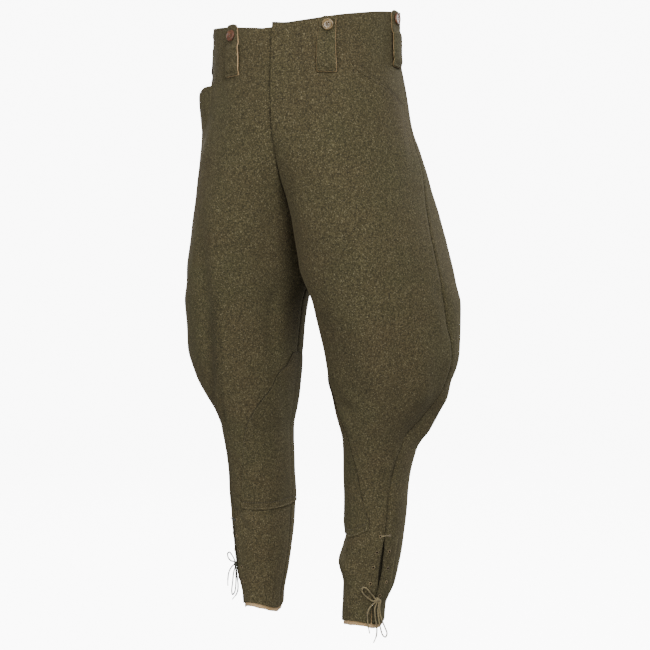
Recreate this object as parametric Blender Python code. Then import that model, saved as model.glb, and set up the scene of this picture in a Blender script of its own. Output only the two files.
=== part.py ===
"""Riding breeches of thick wool cloth, filled out as worn, with open waist and hems.

+Z is up, the front faces -Y and the wearer's left is +X. The origin is the middle of the waist ring, where
the wearer holds the breeches up. Lengths and heights in the tables are millimetres, and a turn is degrees
round one leg from its inner side, over its front (90) and its outer side (180) to its back (270).
"""

import bpy
import bmesh
import numpy as np
from mathutils import Matrix, Vector

MM = 0.001
WALL = 1.9 * MM
SEAM_GAP = 0.3 * MM
LAY_GAP = 0.5 * MM

SIDES = {"left": 1, "right": -1}

# One leg from the high back waist to below the hem: middle x and y, outer and inner x, front and back y, how
# far the outermost point lies behind the middle, and how much of the front and back reach is left where the
# halves meet in the middle plane, which falls from 1 at the waist to 0 where the legs part. Roundness 2 is an
# ellipse, less is more pointed and more is more square: outer half, inner front of each leg, and inner back.
SECTION_COLUMNS = (
    "z", "mid_x", "mid_y", "out", "inner", "front", "back", "sweep", "notch",
    "round_out", "round_left", "round_right", "round_back",
)
SECTIONS = (
    (60, 0, 0, 144, 0, -106, 108, 0, 1.0, 2.05, 2.0, 2.0, 2.0),
    (0, 0, 0, 144, 0, -110, 112, 0, 1.0, 2.05, 2.0, 2.0, 2.0),
    (-60, 4, 0, 145, 0, -116, 116, 2, 0.9995, 2.05, 2.0, 2.0, 2.0),
    (-130, 20, 0, 154, 0, -121, 124, 8, 0.99, 2.05, 2.3, 2.2, 2.0),
    (-170, 34, 3, 161, 0, -122, 128, 11, 0.96, 2.0, 2.5, 2.3, 2.0),
    (-200, 46, 6, 170, 0, -122, 130, 14, 0.93, 2.0, 2.7, 2.4, 2.0),
    (-235, 60, 10, 180, 0, -120, 131, 20, 0.84, 1.95, 2.8, 2.4, 2.0),
    (-270, 76, 14, 188, 0, -117, 132, 25, 0.67, 1.95, 2.8, 2.4, 2.05),
    (-310, 88, 18, 198, 0, -113, 132, 28, 0.46, 1.9, 2.8, 2.3, 2.1),
    (-345, 97, 22, 207, 0, -107, 131, 30, 0.28, 1.9, 2.8, 2.3, 2.1),
    (-370, 103, 25, 213, 0, -102, 129, 31, 0, 1.9, 2.8, 2.2, 2.1),
    (-400, 109, 27, 220, 8, -95, 127, 32, 0, 1.85, 2.7, 2.1, 2.1),
    (-430, 114, 28, 226, 18, -88, 124, 32, 0, 1.85, 2.6, 2.1, 2.1),
    (-500, 121, 34, 225, 29, -70, 122, 26, 0, 1.85, 2.4, 2.1, 2.1),
    (-550, 119, 40, 211, 35, -56, 122, 22, 0, 1.9, 2.3, 2.1, 2.1),
    (-600, 109, 46, 182, 44, -40, 120, 22, 0, 2.0, 2.2, 2.1, 2.1),
    (-640, 104, 50, 163, 52, -26, 116, 8, 0, 2.0, 2.1, 2.1, 2.1),
    (-700, 99, 52, 151, 51, -14, 108, -6, 0, 2.0, 2.1, 2.1, 2.1),
    (-750, 97, 54, 147, 50, -10, 108, -10, 0, 2.0, 2.1, 2.1, 2.1),
    (-800, 94, 48, 142, 50, -14, 106, -7, 0, 2.0, 2.1, 2.1, 2.1),
    (-860, 90, 36, 131, 52, -12, 86, -2, 0, 2.0, 2.1, 2.1, 2.1),
    (-900, 87, 26, 119, 55, -14, 68, 0, 0, 2.0, 2.1, 2.1, 2.1),
    (-970, 85, 24, 116, 55, -16, 64, 0, 0, 2.0, 2.1, 2.1, 2.1),
)

# The side seam: it lies behind the hip, runs down the fullest line of the thigh and comes forward to the
# laced slit of the calf.
SEAM_COLUMNS = ("z", "turn")
SIDE_SEAM = (
    (60, 190),
    (-140, 188),
    (-200, 180),
    (-280, 167),
    (-360, 159),
    (-420, 158),
    (-455, 160),
    (-490, 165),
    (-550, 169),
    (-580, 166),
    (-601, 160),
    (-622, 152),
    (-660, 143),
    (-720, 137),
    (-790, 133),
    (-860, 134),
    (-911, 138),
    (-970, 139),
)

# The waist edge of each side by the angle from the middle of the front, and the row of the cloth that the
# pocket mouth follows by the turn.
RIM_COLUMNS = ("angle", "left", "right")
RIM = (
    (0, -31, -37),
    (18, -27, -31),
    (36, -20.5, -24),
    (55, -14, -18),
    (80, -6, -9),
    (120, 8, 5),
    (150, 18, 15),
    (180, 21, 21),
)
MOUTH_COLUMNS = ("turn", "z")
MOUTH = (
    (90, -76),
    (134, -74),
    (139, -84),
    (143, -95),
    (149, -103),
    (156, -110),
    (162, -119),
    (170, -129),
    (176, -136),
    (183, -143),
    (225, -125),
    (270, -105),
)

HIP = -200 * MM
FORK = -370 * MM
HEM = -914 * MM
HEM_RISE = {"left": 2 * MM, "right": 8 * MM}
HEM_DIP = {"left": 10 * MM, "right": 13 * MM}
SEAT_CROWDING = 1.4
CENTRE_CROWDING = 3.0
SHARING_LEVEL = -100 * MM
FOLD_END = 0.3
RIM_ROWS = 3
MOUTH_ROWS = 4
SEAT_ROWS = 8
LEG_ROWS = 20
FRONT_COLUMNS = 12
BACK_COLUMNS = 14
MOUTH_FIRST = 6
MOUTH_LAST = 11
MOUTH_GAP = 0.8 * MM
GAPE = {"left": 3.0 * MM, "right": 16 * MM}
GAPE_DROP = 68 * MM
GAPE_FROM = 139
GAPE_TO = 180
LIP_CLEAR = 3 * MM
LIP_CLIMB = 0.75

FLY_LAP = 1.4 * MM
FLY_FOOT = -170 * MM
FLY_FADE = 40 * MM
FLY_EASE = 22 * MM

SLIT_TOP = -780 * MM
SLIT_FOOT = -862 * MM
SLIT_GAP = 4.0 * MM
SLIT_FADE = 16 * MM
SEAM_BEVEL = 0.2 * MM

LOOP_WIDTH = 28 * MM
LOOP_WALL = 1.8 * MM
LOOP_FLAT = 26 * MM
LOOP_RAMP = 10 * MM
LOOP_STAND = 2.6 * MM
LOOP_GAP = 0.8 * MM
BACKING = 0.8 * MM
BACKING_EDGE = 0.6 * MM
# The rows of a belt loop: the share of the way from its top to its foot, and the share of its width there.
LOOP_ROWS = (
    (0, 0.65),
    (0.03, 0.74),
    (0.1, 0.79),
    (0.3, 0.84),
    (0.42, 0.87),
    (0.62, 0.91),
    (0.86, 0.95),
    (0.95, 0.96),
    (0.99, 0.96),
    (1, 0.84),
)
# Belt loops: where, the side, the turn at the top and at the foot, how far the top stands above the waist
# edge, the foot's height and how far below the top the button lies.
BELT_LOOPS = (
    ("front_left", "left", 121.2, 117.9, -1, -101, 13),
    ("front_right", "right", 119, 113.6, 3, -99, 17),
    ("side_left", "left", 175.5, 175.5, 1, -84, 12),
    ("side_right", "right", 175.5, 175.5, 1, -84, 12),
    ("back_left", "left", 237, 237, 1, -62, 11),
    ("back_right", "right", 237, 237, 1, -62, 11),
)

BUTTON_RADIUS = 8.1 * MM
BUTTON_THICK = 3.4 * MM
BUTTON_EDGE = 0.9 * MM
BUTTON_SIDES = 16
BUTTON_HOLES = 2.0 * MM
BUTTON_HOLE = 0.85 * MM
HOLE_SIDES = 6

# Knee patches by the turn, where below zero is behind the inseam: the height of the upper and lower edges.
PATCH_WALL = 1.2 * MM
PATCH_BACK = -80
PATCH_FRONT = 104
PATCH_COLUMNS = 20
PATCH_SNAP = 2 * MM
PATCH_COLUMNS_OF = ("turn", "right_top", "right_foot", "left_top", "left_foot")
PATCH = (
    (-80, -746, -758, -770, -784),
    (-75, -696, -758, -718, -784),
    (-65, -646, -758, -668, -784),
    (-45, -588, -758, -610, -784),
    (-22, -536, -758, -552, -784),
    (-10, -510, -758, -524, -784),
    (8, -507, -758, -519, -784),
    (16, -524, -758, -535, -784),
    (28, -537, -758, -552, -785),
    (36, -558, -758, -572, -785),
    (55, -587, -758, -610, -786),
    (69, -611, -758, -650, -784),
    (82, -645, -758, -690, -780),
    (94, -694, -758, -738, -774),
    (104, -744, -758, -757, -770),
)

FACING_WALL = 1.0 * MM
FACING_HEIGHT = 24 * MM
FACING_TUCK = 2 * MM
FACING_DROP = 6.5 * MM
# The turns between which it shows below the hem.
FACING_FROM = -45
FACING_TO = 225
FACING_FADE = 35
FLY_GAP = 1.6 * MM

UNDERLAP_WALL = 1.2 * MM
UNDERLAP_GAP = 0.9 * MM
UNDERLAP_OVER = 10 * MM
UNDERLAP_WIDTH = 46 * MM
UNDERLAP_FORE = 13 * MM
UNDERLAP_ROWS = 7
UNDERLAY_RIGHT = 12 * MM
UNDERLAY_LEFT = 33 * MM
UNDERLAY_TOP = 3 * MM
UNDERLAY_FOOT = 8 * MM

POCKET_FORE = 137
POCKET_AFT = 180
POCKET_ABOVE = 22 * MM
POCKET_BELOW = 26 * MM
POCKET_GAP = 1.0 * MM

LACE_WIDTH = 2.2 * MM
LACE_STEP = 5.5 * MM
KNOT_SIZE = (7.5 * MM, 6.0 * MM, 4.5 * MM)
KNOT_LEAD = 3.0 * MM
# The turn and height of each bow's knot.
KNOTS = {"left": (139, -878), "right": (139, -852)}
# The laces' stretches that show: name and side, the angle at which an end leaves the knot, in degrees from
# its back over its top, the path as turn, height and distance from the cloth, and the angle of its way back.
LACES = (
    ("bar", "left", None, ((125.7, -779, 1.7), (133.7, -778, 1.9), (142.7, -779, 1.7)), None),
    ("bar", "right", None, ((125.7, -779, 1.7), (133.7, -778, 1.9), (142.7, -779, 1.7)), None),
    ("bow_front", "left", 150, (
        (127, -872, 3.0), (118, -865.5, 2.6), (110, -859, 2.4), (103, -857.5, 2.4), (101, -863, 2.4),
        (107, -869, 2.6), (118, -874.5, 2.8), (126, -878.5, 2.8),
    ), 190),
    ("end_front", "left", 226, (
        (128, -888, 2.4), (123, -897, 2.6), (123, -911, 4.5), (127, -928, 8),
    ), None),
    ("end_back", "left", 264, (
        (139, -893, 3.6), (142, -907, 5), (144, -922, 8), (141, -933, 10), (134, -942, 11),
    ), None),
    ("bow_back", "left", 336, (
        (150, -890, 4.6), (155, -905, 6), (163, -922, 10), (167, -933, 13), (162, -938, 13),
        (155, -932, 11), (151, -916, 8), (147.5, -899, 5.6),
    ), 300),
    ("bow_front", "right", 100, (
        (140, -840, 4.8), (146, -833.5, 8), (152, -836, 12), (153, -843, 12), (149, -847.5, 8),
    ), 26),
    ("end_back", "right", 348, ((150, -858, 9), (155, -866, 15), (157, -876, 19.5), (157, -885, 22)), None),
    ("bow_back", "right", 310, (
        (148, -866, 6.4), (152, -880, 12), (153, -894, 17), (150, -901, 16), (146, -893, 11), (142, -878, 6),
    ), 272),
    ("end_front", "right", 226, ((133.4, -868, 3.0), (136, -884, 5), (142, -897, 9), (147, -908, 17)), None),
)

# Each kind's colour, linear, and roughness.
KINDS = {
    "wool": ((0.075, 0.066, 0.045), 0.95),
    "cotton": ((0.45, 0.33, 0.2), 0.9),
    "horn": ((0.3, 0.2, 0.11), 0.4),
    "lace": ((0.16, 0.14, 0.09), 0.85),
}

# Folds: the side, how far the cloth stands out (or in, below zero), half the width, and the path as turn and
# height. The first two are the ridge and the trough that hang beside each other down the right thigh.
FOLDS = (
    ("right", 5, 17, ((107, -269), (92, -360), (87, -418), (85, -484), (88, -547), (105, -613))),
    ("right", -7, 15, ((112, -280), (106, -350), (101, -423), (98, -485), (103, -548), (116, -604))),
    ("right", -4, 13, ((36, -395), (36, -431), (34, -496), (32, -535))),
    ("right", -4, 14, ((146, -754), (116, -777), (101, -795), (88, -813))),
    ("left", -4, 16, ((26, -556), (57, -572), (73, -585), (88, -598))),
    ("left", -4, 18, ((113, -420), (119, -498), (122, -535), (125, -562), (132, -592))),
    ("left", 3, 17, ((132, -450), (138, -520), (144, -560), (156, -596))),
    ("left", -3, 13, ((151, -395), (156, -417), (160, -451), (165, -492))),
    ("left", -3, 17, ((180, -568), (162, -602), (151, -623), (156, -650))),
    ("left", -3, 13, ((132, -696), (125, -728), (117, -760))),
    ("left", 8, 19, ((-22, -828), (24, -830), (58, -832), (90, -828))),
    ("left", 8, 22, ((188, -545), (187, -600), (186, -655))),
    ("left", -5, 18, ((228, -520), (250, -560), (275, -580), (298, -572))),
    ("right", -5, 18, ((222, -536), (246, -572), (272, -586), (294, -572))),
    ("left", 4, 18, ((225, -250), (240, -340), (262, -440), (285, -520))),
    ("right", 4, 18, ((228, -240), (244, -330), (266, -430), (290, -510))),
    ("left", -5, 17, ((316, -230), (300, -310), (296, -400), (305, -480))),
    ("right", -5, 17, ((318, -225), (302, -300), (298, -390), (306, -470))),
    ("left", -4, 17, ((200, -612), (226, -650), (250, -664), (276, -650))),
    ("right", -4, 17, ((196, -604), (222, -642), (248, -660), (276, -650))),
)


def smooth(x):
    """A soft step from 0 at x = 0 to 1 at x = 1."""
    x = np.clip(x, 0.0, 1.0)
    return x * x * (3.0 - 2.0 * x)


def curve(xs, ys, x):
    """A monotone cubic through the points (xs, ys), read at x."""
    xs = np.asarray(xs, float)
    ys = np.asarray(ys, float)
    step = np.diff(xs)
    slope = np.diff(ys) / step
    tangent = np.empty_like(ys)
    tangent[0] = slope[0]
    tangent[-1] = slope[-1]
    both = slope[1:] * slope[:-1]
    safe = np.where(both > 0, slope[1:] + slope[:-1], 1.0)
    tangent[1:-1] = np.where(both > 0, 2.0 * both / safe, 0.0)
    x = np.clip(x, xs[0], xs[-1])
    k = np.clip(np.searchsorted(xs, x, side="right") - 1, 0, len(step) - 1)
    s = (x - xs[k]) / step[k]
    start = (1 + 2 * s) * (1 - s) ** 2 * ys[k] + s * (1 - s) ** 2 * step[k] * tangent[k]
    end = s * s * (3 - 2 * s) * ys[k + 1] + s * s * (s - 1) * step[k] * tangent[k + 1]
    return start + end


def column(table, columns, name, at):
    """One named column of a table, read at a value of its first column."""
    rows = sorted(table)
    return curve([row[0] for row in rows], [row[columns.index(name)] for row in rows], at)


def section(name, z):
    return column(SECTIONS, SECTION_COLUMNS, name, z / MM)


def inner_round(side, z, front):
    """Roundness of a leg's inner front or inner back."""
    own = section("round_left" if side > 0 else "round_right", z)
    return np.where(front, own, section("round_back", z))


def inner_share(side, z, front):
    """The middle's distance from the middle plane, as a share of the inner reach that the notch leaves."""
    power = inner_round(side, z, front)
    return (1.0 - np.clip(section("notch", z), 0.0, 1.0) ** power) ** (1.0 / power)


def inner_reach(side, z, front):
    """How far one leg would reach inwards from its middle, past the middle plane where the halves join."""
    mid = section("mid_x", z)
    share = np.maximum(inner_share(side, z, front), 0.02)
    joined = np.maximum(mid / share, np.where(share < 0.05, 150.0, 0.0))
    return np.where(section("notch", z) > 0, joined, mid - section("inner", z))


def centre_turn(side, z, front=True):
    """How far round the leg, in radians from its inner side, one half crosses the middle plane."""
    share = np.clip(section("mid_x", z) / inner_reach(side, z, front), 0.0, 1.0)
    share = np.where(section("notch", z) > 0, share, 1.0)
    return np.arccos(share ** (inner_round(side, z, front) / 2.0))


def seam_turn(z):
    return np.radians(column(SIDE_SEAM, SEAM_COLUMNS, "turn", z / MM))


def turn_at(side, x, z):
    """Where on a leg's front the form reaches x: the turn is worked back from the section's own formula."""
    mid_x = section("mid_x", z)
    inwards = mid_x - x / MM
    share = np.where(inwards > 0, inwards / inner_reach(side, z, True), inwards / (section("out", z) - mid_x))
    power = np.where(inwards > 0, inner_round(side, z, True), section("round_out", z)) / 2.0
    return np.arccos(np.sign(share) * np.abs(np.clip(share, -1.0, 1.0)) ** power)


def rim_height(side, turn):
    name = "left" if side > 0 else "right"
    return column(RIM, RIM_COLUMNS, name, np.abs(np.degrees(turn) - 90.0)) * MM


def mouth_height(turn):
    return column(MOUTH, MOUTH_COLUMNS, "z", np.degrees(turn)) * MM


def form(side, turn, z):
    """The plain form of one leg: a rounded section whose four quarters have their own reach."""
    c = np.cos(turn)
    s = np.sin(turn)
    mid_x = section("mid_x", z)
    mid_y = section("mid_y", z)
    reach_x = np.where(c > 0, inner_reach(side, z, s > 0), section("out", z) - mid_x)
    reach_y = np.where(s > 0, mid_y - section("front", z), section("back", z) - mid_y)
    power = 2.0 / np.where(c > 0, inner_round(side, z, s > 0), section("round_out", z))
    x = mid_x - reach_x * np.sign(c) * np.abs(c) ** power
    outward = np.where(c < 0, (x - mid_x) / reach_x, 0.0)
    y = mid_y - reach_y * np.sign(s) * np.abs(s) ** power + section("sweep", z) * outward**2
    return np.stack([side * x * MM, y * MM, z + 0.0 * x], axis=-1)


def pace(side, turn, z):
    """Length round the leg for each radian of turn."""
    step = 0.01
    return np.linalg.norm(form(side, turn + step, z) - form(side, turn - step, z), axis=-1) / (2 * step)


def facing(side, turn, z, shape):
    """The outward unit normal of a surface function, from small steps along its two parameters."""
    round_step = 1e-3
    down_step = 0.5 * MM
    along = shape(side, turn + round_step, z) - shape(side, turn - round_step, z)
    up = shape(side, turn, z + down_step) - shape(side, turn, z - down_step)
    normal = side * np.cross(along, up)
    return normal / np.linalg.norm(normal, axis=-1, keepdims=True)


def fold_height(side, turn, z):
    """The folds' rise at points of the plain form: each is a soft ridge or trough, dying out at its ends."""
    point = form(side, turn, z)
    rise = np.zeros(point.shape[:-1])
    for named, depth, width, path in FOLDS:
        if SIDES[named] != side:
            continue
        turns, heights = np.transpose(path)
        knots = form(side, np.radians(turns.astype(float)), heights * MM)
        near = np.full(rise.shape, 1e9)
        share = np.zeros(rise.shape)
        for k, (a, b) in enumerate(zip(knots[:-1], knots[1:])):
            run = b - a
            t = np.clip(((point - a) @ run) / (run @ run), 0.0, 1.0)
            distance = np.linalg.norm(point - a - t[..., None] * run, axis=-1)
            share = np.where(distance < near, (k + t) / (len(knots) - 1), share)
            near = np.minimum(distance, near)
        ends = smooth(share / FOLD_END) * smooth((1.0 - share) / FOLD_END)
        rise += depth * MM * np.exp(-((near / (width * MM)) ** 2)) * ends
    return rise


def cloth(side, turn, z):
    """The outer face of the cloth with its folds."""
    return form(side, turn, z) + fold_height(side, turn, z)[..., None] * facing(side, turn, z, form)


def lift(side, turn, z, rise):
    """Points of the cloth's outer face moved out by rise, or in where it is below zero."""
    turn = np.asarray(turn, float)
    z = np.asarray(z, float) + 0.0 * turn
    return cloth(side, turn, z) + np.asarray(rise)[..., None] * facing(side, turn, z, form)


def lower_rows():
    """Heights from the hip to the hem, closest together just above the fork."""
    seat = FORK + (HIP - FORK) * np.linspace(1.0, 0.0, SEAT_ROWS + 1) ** SEAT_CROWDING
    return np.concatenate([seat, np.linspace(FORK, HEM, LEG_ROWS + 1)[1:]])


def hem_dip(side, turn):
    """How far the hem lies below its level: it dips at a leg's two sides and rises between them."""
    name = "left" if side > 0 else "right"
    return HEM_DIP[name] * np.cos(turn) ** 2 - HEM_RISE[name]


def row_heights(side, turn):
    """Heights of a panel's grid: from the waist edge to the mouth's row, to the hip, then level."""
    top = rim_height(side, turn)
    mid = mouth_height(turn)
    upper = [top + (mid - top) * k / RIM_ROWS for k in range(RIM_ROWS)]
    middle = [mid + (HIP - mid) * k / MOUTH_ROWS for k in range(MOUTH_ROWS)]
    level = [np.full(turn.shape, z) for z in lower_rows()]
    return np.stack(upper + middle + level)


def panel_places(side, which):
    """Turns and heights of a panel's grid, row by row from the waist to the hem, which dips and rises."""
    middle = seam_turn(SHARING_LEVEL)
    if which == "front":
        share = np.linspace(0.0, 1.0, FRONT_COLUMNS + 1)
        nominal = np.pi / 2 + share * (middle - np.pi / 2)
    else:
        share = np.linspace(0.0, 1.0, BACK_COLUMNS + 1)
        nominal = middle + share * (1.5 * np.pi - middle)
    z = row_heights(side, nominal)
    centre = centre_turn(side, z, which == "front")
    seam = seam_turn(z)
    crowd = 1.0 + CENTRE_CROWDING * (1.0 - centre / (np.pi / 2))
    if which == "front":
        turn = seam * share + centre * (1.0 - share) ** crowd
    else:
        turn = 2 * np.pi - (2 * np.pi - seam) * (1.0 - share) - centre * share**crowd
    z[-1] -= hem_dip(side, turn[-1])
    return turn, z


def inset(points, z, which, depth):
    """Pulls both long edges in by half the seam gap, a little more on the inner face, most along the slit."""
    slit = smooth((SLIT_TOP - z[:, 0]) / SLIT_FADE) * smooth((z[:, 0] - SLIT_FOOT) / (2 * SLIT_FADE))
    plain = np.full(len(z), SEAM_GAP / 2 + (SEAM_BEVEL if depth < 0 else 0.0))
    laced = plain + slit * (SLIT_GAP - SEAM_GAP) / 2
    amounts = (plain, laced) if which == "front" else (laced, plain)
    for edge, inner, amount in ((0, 1, amounts[0]), (-1, -2, amounts[1])):
        way = points[:, inner] - points[:, edge]
        way /= np.linalg.norm(way, axis=-1, keepdims=True)
        points[:, edge] += amount[:, None] * way
    return points


def cleared(points, side, least=SEAM_GAP / 2):
    """Keeps every point of one half on its own side of the middle plane."""
    points[..., 0] = side * np.maximum(side * points[..., 0], least)
    return points


def fly_rise(side, turn, z):
    """How far the left front stands out over the right one beside the fly."""
    lap = smooth((z - FLY_FOOT + FLY_FADE) / FLY_FADE)
    x = np.maximum(side * form(side, turn, z)[..., 0], 0.0)
    return (WALL + LAY_GAP) * lap * (1.0 - smooth((x - FLY_LAP) / FLY_EASE))


def lapped(turn, z, rise):
    """Points of the left front, which crosses the middle onto the right front's outer face."""
    centre = centre_turn(1, z)
    over = turn < centre
    folded = np.where(over, 2 * centre - turn, turn)
    own = cleared(lift(1, folded, z, rise), 1, 0.0)
    return np.where(over[..., None], lift(-1, folded, z, rise), own)


def gape(side, turn, z):
    """How far the lower lip of the pocket mouth stands out."""
    degrees = np.degrees(turn)
    along = np.clip((degrees - GAPE_FROM) / (GAPE_TO - GAPE_FROM), 0.0, 1.0)
    below = np.clip((mouth_height(turn) - z) / GAPE_DROP, 0.0, None)
    return GAPE[side] * np.sin(np.pi * along) * np.exp(-(below**2))


def climb(out):
    """How far a lower lip that stands out this far is drawn up over the upper one."""
    return LIP_CLIMB * np.maximum(out - LIP_CLEAR, 0.0)


def shell(name, outer, inner, quads, kind):
    """A closed wall: the quads over the outer points, the same over the inner ones turned round, and a strip
    along every open edge."""
    count = len(outer)
    edges = np.concatenate([quads[:, [k, (k + 1) % 4]] for k in range(4)])
    there = edges[:, 0] * count + edges[:, 1]
    back = edges[:, 1] * count + edges[:, 0]
    rim = edges[~np.isin(there, back)]
    strip = np.stack([rim[:, 1], rim[:, 0], rim[:, 0] + count, rim[:, 1] + count], axis=1)
    faces = np.concatenate([quads, quads[:, ::-1] + count, strip])
    return mesh_object(name, np.concatenate([outer, inner]), faces, kind)


def mesh_object(name, points, faces, kind):
    """A smooth mesh object whose faces point out."""
    mesh = bpy.data.meshes.new(name)
    mesh.from_pydata(points.tolist(), [], [tuple(face) for face in faces.tolist()])
    work = bmesh.new()
    work.from_mesh(mesh)
    bmesh.ops.remove_doubles(work, verts=work.verts, dist=SEAM_GAP / 30)
    if work.calc_volume(signed=True) < 0:
        bmesh.ops.reverse_faces(work, faces=work.faces)
    work.to_mesh(mesh)
    work.free()
    mesh.shade_smooth()
    mesh.set_sharp_from_angle(angle=np.radians(40))
    return placed(name, mesh, kind)


def grid_quads(index):
    """Quads of a grid of point numbers."""
    corners = (index[:-1, :-1], index[1:, :-1], index[1:, 1:], index[:-1, 1:])
    return np.stack([corner.reshape(-1) for corner in corners], axis=1)


def slab(name, outer, inner, kind, ring=False):
    """A closed wall between two grids of points; a ring's last column joins its first."""
    rows, columns = outer.shape[:2]
    index = np.arange(rows * columns).reshape(rows, columns)
    if ring:
        index = np.concatenate([index, index[:, :1]], axis=1)
    return shell(name, outer.reshape(-1, 3), inner.reshape(-1, 3), grid_quads(index), kind)


def front_panel(side_name):
    """A front with its pocket mouth cut through as a slit between two grid rows."""
    side = SIDES[side_name]
    turn, z = panel_places(side, "front")
    rise = np.zeros(turn.shape)
    first = MOUTH_FIRST
    if side > 0:
        flap = z[:, :1]
        lap = FLY_LAP / pace(1, turn[:, :1], flap)
        start = turn_at(1, 0.0 * flap, flap) - lap * smooth((flap - FLY_FOOT) / FLY_FADE)
        turn = np.concatenate([start, start + lap, turn[:, 1:]], axis=1)
        z = np.concatenate([flap, z], axis=1)
        rise = fly_rise(1, turn, z)
        first += 1
    row = RIM_ROWS
    lips = slice(first + 1, first + MOUTH_LAST - MOUTH_FIRST)
    below = np.arange(len(turn))[:, None] >= row
    lip = np.where(below, gape(side_name, turn, z), 0.0)
    rise_below = rise + lip
    faces = []
    for depth in (0.0, -WALL):
        if side > 0:
            points = lapped(turn, z, rise_below + depth)
            upper = lapped(turn, z, rise + depth)[row, lips]
        else:
            points = cleared(lift(side, turn, z, rise_below + depth), side)
            upper = lift(side, turn, z, rise + depth)[row, lips]
        points = inset(points, z, "front", depth)
        points[..., 2] += climb(lip)
        legs = z[:, 0] < FLY_FOOT - FLY_FADE
        points[legs] = cleared(points[legs], side)
        upper[:, 2] += MOUTH_GAP / 2
        points[row, lips, 2] -= MOUTH_GAP / 2
        faces.append(np.concatenate([points.reshape(-1, 3), upper]))
    rows, columns = turn.shape
    index = np.arange(rows * columns).reshape(rows, columns)
    above = index[: row + 1].copy()
    above[row, lips] = rows * columns + np.arange(MOUTH_LAST - MOUTH_FIRST - 1)
    quads = np.concatenate([grid_quads(above), grid_quads(index[row:])])
    return shell(f"front_{side_name}", faces[0], faces[1], quads, "wool")


def back_panel(side_name):
    side = SIDES[side_name]
    turn, z = panel_places(side, "back")
    walls = []
    for depth in (0.0, -WALL):
        points = cleared(lift(side, turn, z, depth), side)
        points = cleared(inset(points, z, "back", depth), side)
        walls.append(points)
    return slab(f"back_{side_name}", walls[0], walls[1], "wool")


def layer(name, side, turn, z, low, high, kind, ring=False):
    """A piece that lies on the cloth, or below zero inside it, between two lifts."""
    return slab(name, lift(side, turn, z, high), lift(side, turn, z, low), kind, ring)


def across(side, turn, z, width, count):
    """Turns and heights of count points spread over a width that is centred on turn, at each height in z."""
    turn = (turn + 0.0 * z)[:, None]
    offset = (width + 0.0 * z)[:, None] * np.linspace(-0.5, 0.5, count)
    return turn + offset / pace(side, turn, z[:, None]), np.repeat(z[:, None], count, axis=1)


def belt_loop(place, side_name, top_turn, foot_turn, above, foot, button_drop):
    """A cloth tab with a cotton backing, sewn down at its foot and buttoned below the waist edge."""
    side = SIDES[side_name]
    rows, taper = np.transpose(LOOP_ROWS)
    top = rim_height(side, np.radians(top_turn)) + above * MM
    fall = top - foot * MM
    turn = np.radians(top_turn + (foot_turn - top_turn) * rows)
    z = top - fall * rows
    down = top - z
    loose = smooth((down - LOOP_FLAT) / LOOP_RAMP) * smooth((z - foot * MM) / LOOP_RAMP)
    stand = (LOOP_GAP + LOOP_STAND * loose)[:, None]
    pieces = (
        (f"loop_backing_{place}", LOOP_WIDTH + 2 * BACKING_EDGE, 3, stand, BACKING, "cotton"),
        (f"belt_loop_{place}", LOOP_WIDTH, 4, stand + BACKING + SEAM_GAP, LOOP_WALL, "wool"),
    )
    for name, width, count, low, thick, kind in pieces:
        turns, heights = across(side, turn, z, width * taper, count)
        low = low + 0.0 * turns
        layer(name, side, turns, heights, low, low + thick, kind)
    height = top - button_drop * MM
    turn = np.radians(top_turn + (foot_turn - top_turn) * button_drop * MM / fall)
    seat = LOOP_GAP + BACKING + SEAM_GAP + LOOP_WALL + SEAM_GAP
    button = button_object(f"button_{place}")
    button.location = lift(side, turn, height, seat)
    out = Vector(facing(side, turn, height, form))
    button.rotation_euler = out.to_track_quat("Z", "Y").to_euler()


def ring_of(work, radius, height, count, middle=(0.0, 0.0)):
    """A closed ring of edges, and its points."""
    turns = 2 * np.pi * np.arange(count) / count
    points = [
        work.verts.new((middle[0] + radius * np.cos(a), middle[1] + radius * np.sin(a), height))
        for a in turns
    ]
    return points, [work.edges.new((points[k], points[(k + 1) % count])) for k in range(count)]


def button_object(name):
    """A sew-through button on its back, centred on Z: a turned edge and four holes right through."""
    work = bmesh.new()
    edge = BUTTON_EDGE
    profile = (
        (BUTTON_RADIUS - edge, 0.0),
        (BUTTON_RADIUS, edge),
        (BUTTON_RADIUS, BUTTON_THICK - edge),
        (BUTTON_RADIUS - edge, BUTTON_THICK),
    )
    rims = [ring_of(work, radius, height, BUTTON_SIDES) for radius, height in profile]
    walls = [(a[0], b[0]) for a, b in zip(rims[:-1], rims[1:])]
    flats = [list(rims[0][1]), list(rims[-1][1])]
    for quarter in range(4):
        angle = np.pi / 4 + quarter * np.pi / 2
        middle = (BUTTON_HOLES * np.cos(angle), BUTTON_HOLES * np.sin(angle))
        low = ring_of(work, BUTTON_HOLE, 0.0, HOLE_SIDES, middle)
        high = ring_of(work, BUTTON_HOLE, BUTTON_THICK, HOLE_SIDES, middle)
        walls.append((high[0], low[0]))
        flats[0] += low[1]
        flats[1] += high[1]
    for a, b in walls:
        for k in range(len(a)):
            n = (k + 1) % len(a)
            work.faces.new((a[k], a[n], b[n], b[k]))
    for edges in flats:
        bmesh.ops.triangle_fill(work, use_beauty=True, edges=edges)
    bmesh.ops.recalc_face_normals(work, faces=work.faces)
    mesh = bpy.data.meshes.new(name)
    work.to_mesh(mesh)
    work.free()
    return placed(name, mesh, "horn")


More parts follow.
